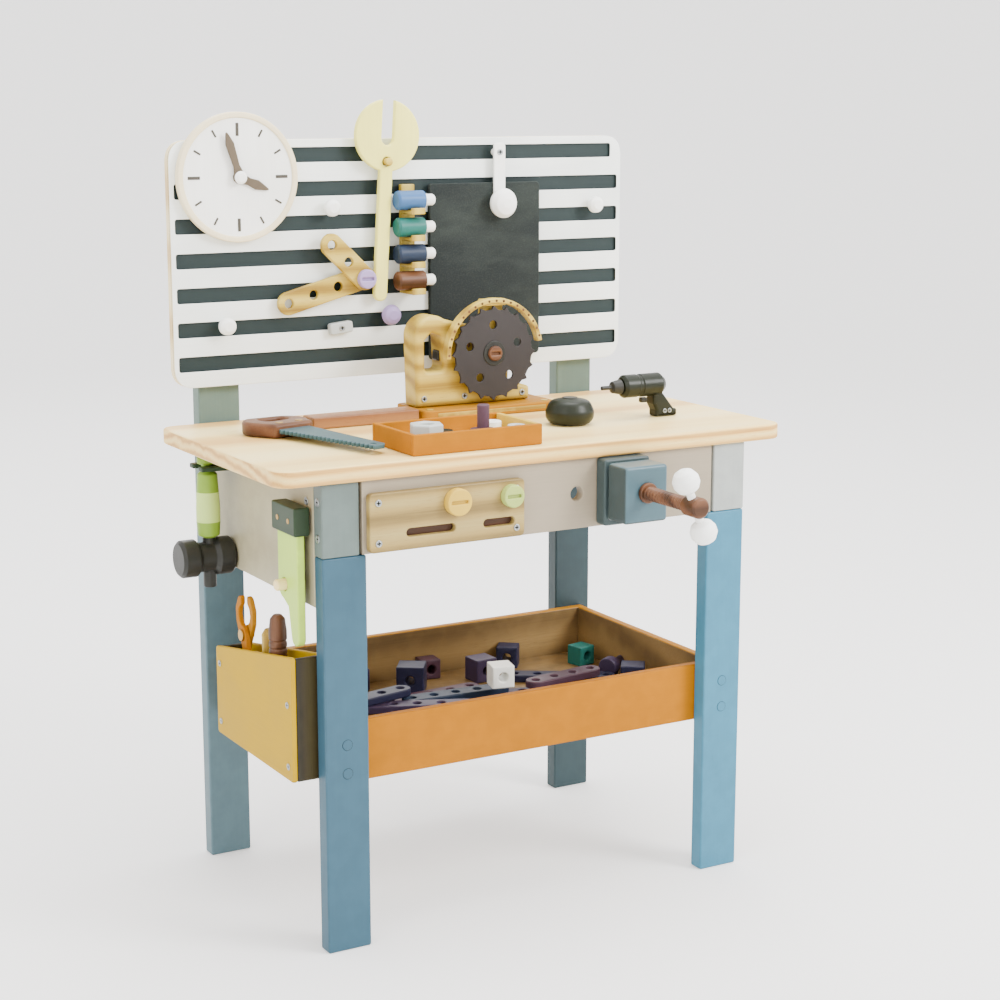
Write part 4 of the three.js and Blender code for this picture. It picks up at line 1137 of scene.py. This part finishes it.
def make_pliers():
    """Two halves of one shape, the rear one mirrored, that cross at the pivot."""
    pivot_y, pivot_z = 75.5, 278
    for node, body, sign, paint in (("pliers_front_half", "pliers", 1, ORANGE),
                                    ("pliers_rear_half", "pliers_jaw", -1, DEEP_ORANGE)):
        b = node_box(node)
        foot = b.z0 - pivot_z
        shape = [(1, 40), (8, 38), (15, 26), (14, 12), (9, 2), (2, -10), (-9, -34), (-12, -70),
                 (-10, foot), (-17, foot), (-20, -70), (-18, -34), (-11, -8), (-8, 2), (-4, 9),
                 (1, 10), (6, 14), (8, 20), (6, 27), (1, 31)]
        outline = [(pivot_y + u * sign, pivot_z + v) for u, v in softened(shape, 5, 4)]
        low = b.x0 + 2 if sign > 0 else b.x0
        piece = Piece(node, "plate")
        piece.add(plate("side", outline, low, low + 5, 1.2, round_steps=3), paint)
        if sign > 0:
            stud = [(4, b.x0 + 0.4), (4, b.x1)]
            piece.add(lathe([(6, b.x0), (6, b.x0 + 2.2)], "X", (0, pivot_y, pivot_z), 0.8), BRASS)
            piece.add(lathe(stud, "X", (0, pivot_y, pivot_z)), BRASS)
        piece.done(body, "orange_paint")


def make_screwdriver():
    b = node_box("screwdriver")
    at = (b.cx, b.cy, 0)
    bottom, top = b.z1 - 76, b.z1
    piece = Piece("screwdriver", "turned")
    handle = [(5, bottom), (7.8, bottom + 6), (8.8, bottom + 22)]
    for i in range(4):
        z = bottom + 28 + i * 7
        handle += [(8.8, z), (7.9, z + 1), (7.9, z + 2), (8.8, z + 3)]
    handle += [(8.8, top - 16), (7.3, top - 4), (4, top)]
    piece.add(lathe(handle, "Z", at, 0.9), BROWN_UPRIGHT)
    piece.add(lathe([(2.0, b.z0), (2.5, b.z0 + 4), (2.5, bottom + 1)], "Z", at, 0.4, 24), ZINC)
    piece.done("screwdriver", "brown_wood")

    pocket = node_box("tool_pocket")
    lean = Matrix.Translation((b.cx, 27, pocket.z0 + 5.5)) @ Matrix.Rotation(math.radians(4), 4, "X")
    piece = Piece("pocket_file")
    piece.add(lathe([(2.4, 0), (2.4, 52)], soft=0.4, steps=24), ZINC, lean)
    handle = [(5, 50), (7.4, 56), (7.6, 80), (6.4, 104), (7.2, 118), (4, 124)]
    piece.add(lathe(handle, soft=2.5), CREAM_UPRIGHT, lean)
    piece.done("bench")


# ---- loose pieces in the lower tray ----

def lying(x, y, z, turn):
    return Matrix.Translation((x, y, z)) @ Matrix.Rotation(math.radians(turn), 4, "Z")


def make_tray_strips(floor):
    spacing = 25
    strips = (  # place, height over the floor, turn, material, number of holes
        (-70, 22, 0, 6, NAVY, 6), (84, 66, 0, -14, VIOLET, 6), (-150, 60, 0, 72, BROWN, 5),
        (128, 6, 0, 24, NAVY, 5), (20, -8, 0, -8, CREAM, 6), (-60, 60, 8.5, -24, VIOLET, 5),
        (60, 30, 8.5, 14, NAVY, 5), (-30, 110, 0, 4, PLUM, 6), (140, 104, 0, -32, NAVY, 5),
        (-6, 76, 8.5, -4, RACK_NAVY, 5), (112, 52, 17, 8, PLUM, 4), (-100, 84, 17, 12, NAVY, 4),
    )
    for i, (x, y, lift, turn, material, holes) in enumerate(strips):
        half = (holes - 1) * spacing / 2
        outline = arc(half, 0, 11, -90, 90, 14) + arc(-half, 0, 11, 90, 270, 14)
        rounds = [circle(-half + spacing * k, 0, 4.5, 24) for k in range(holes)]
        strip = plate("top", outline, 0, 8, 1.4, rounds)
        Piece(f"tray_strip_{i + 1}").add(strip, material, lying(x, y, floor + lift, turn)).done("bench")


def make_tray_blocks(floor):
    blocks = (  # place, height over the floor, material, size
        (30, 44, 25.6, WHITE, 24), (-186, 120, 0, PLUM, 26), (196, 150, 0, RACK_TEAL, 22),
        (-20, 150, 0, NAVY, 30), (66, 150, 0, VIOLET, 26), (-104, 152, 0, RACK_NAVY, 30),
        (196, 44, 0, NAVY, 26), (-70, 186, 0, VIOLET, 24), (120, 184, 0, NAVY, 24),
        (20, 188, 0, PLUM, 22),
    )
    for i, (x, y, lift, material, size) in enumerate(blocks):
        half = size / 2
        outline = rectangle(-half, half, 0, size, 1.5)
        block = plate("front", outline, -half, half, 1.6, [circle(0, half, 5, 28)])
        place = lying(x, y, floor + lift, random.uniform(-40, 40))
        Piece(f"tray_block_{i + 1}").add(block, material, place).done("bench")


def make_tray_bolts(floor):
    bolts = ((-190, 4, NAVY), (204, 96, VIOLET), (74, -34, RACK_TEAL), (-40, -34, PLUM),
             (190, -24, NAVY), (-120, -30, VIOLET))
    profile = [(10, -16), (11, -14), (11, -4), (5.5, -3), (5.5, 28), (4.5, 30)]
    for i, (x, y, material) in enumerate(bolts):
        place = lying(x, y, floor + 11, random.uniform(0, 360))
        Piece(f"tray_bolt_{i + 1}").add(lathe(profile, "X", soft=1.0), material, place).done("bench")


def make_tray_pieces():
    floor = node_box("lower_tray").z0 + 8
    random.seed(7)
    make_tray_strips(floor)
    make_tray_blocks(floor)
    make_tray_bolts(floor)


# ---- studio ----

def make_studio():
    """A pale floor that curves up into a far round wall, and soft lights inside it."""
    flat, bend, top = 4, 3, 7  # metres
    angles = [math.radians(6 * i) for i in range(1, 16)]
    curve = [(flat + bend * math.sin(a), bend - bend * math.cos(a)) for a in angles]
    profile = [(0, 0), (flat, 0), *curve, (flat + bend, top)]
    bm = bmesh.new()
    rings = [[bm.verts.new((u, v, z)) for u, v in circle(0, 0, max(r, 0.01), 96)] for r, z in profile]
    skin(bm, rings)
    bm.faces.new(rings[0])
    mesh = mesh_of(bm)
    mesh.polygons.foreach_set("use_smooth", [True] * len(mesh.polygons))
    floor = bpy.data.objects.new("studio_floor", mesh)
    link(floor)
    material = bpy.data.materials.new("studio_paper")
    material.use_nodes = True
    shader = material.node_tree.nodes["Principled BSDF"]
    shader.inputs["Base Color"].default_value = (0.72, 0.71, 0.70, 1)
    shader.inputs["Emission Color"].default_value = (1, 0.99, 0.98, 1)
    shader.inputs["Emission Strength"].default_value = 0.50
    shader.inputs["Roughness"].default_value = 0.9
    shader.inputs["Specular IOR Level"].default_value = 0.2
    mesh.materials.append(material)

    world = bpy.data.worlds.new("studio_light")
    bpy.context.scene.world = world
    world.use_nodes = True
    background = world.node_tree.nodes["Background"]
    background.inputs["Color"].default_value = (0.97, 0.98, 1.0, 1)
    background.inputs["Strength"].default_value = 2.7

    lights = (  # name, place, size in metres, watts
        ("key", (1.35, -1.6, 1.7), 1.0, 80),
        ("fill", (-2.6, -1.6, 1.8), 2.0, 30),
        ("top", (0.3, 0.1, 3.0), 2.0, 90),
        ("back", (0.8, 2.6, 2.2), 1.8, 30),
    )
    for name, place, size, power in lights:
        lamp = bpy.data.lights.new(name, "AREA")
        lamp.shape = "DISK"
        lamp.size = size
        lamp.energy = power
        holder = bpy.data.objects.new(name, lamp)
        holder.location = place
        holder.rotation_mode = "QUATERNION"
        holder.rotation_quaternion = (Vector((0, 0, 0.4)) - holder.location).to_track_quat("-Z", "Y")
        link(holder)


make_frame()
make_apron()
make_tabletop()
make_lower_tray()
make_pocket()
make_panel()
make_panel_pieces()
make_clock()
make_chalkboard()
make_spanner()
make_rack()
make_strips()
make_vise()
make_circular_saw()
make_parts_tray()
make_plank()
make_hand_saw()
make_drill()
make_table_bolt()
make_hammer()
make_try_square()
make_pliers()
make_screwdriver()
make_tray_pieces()
make_studio()
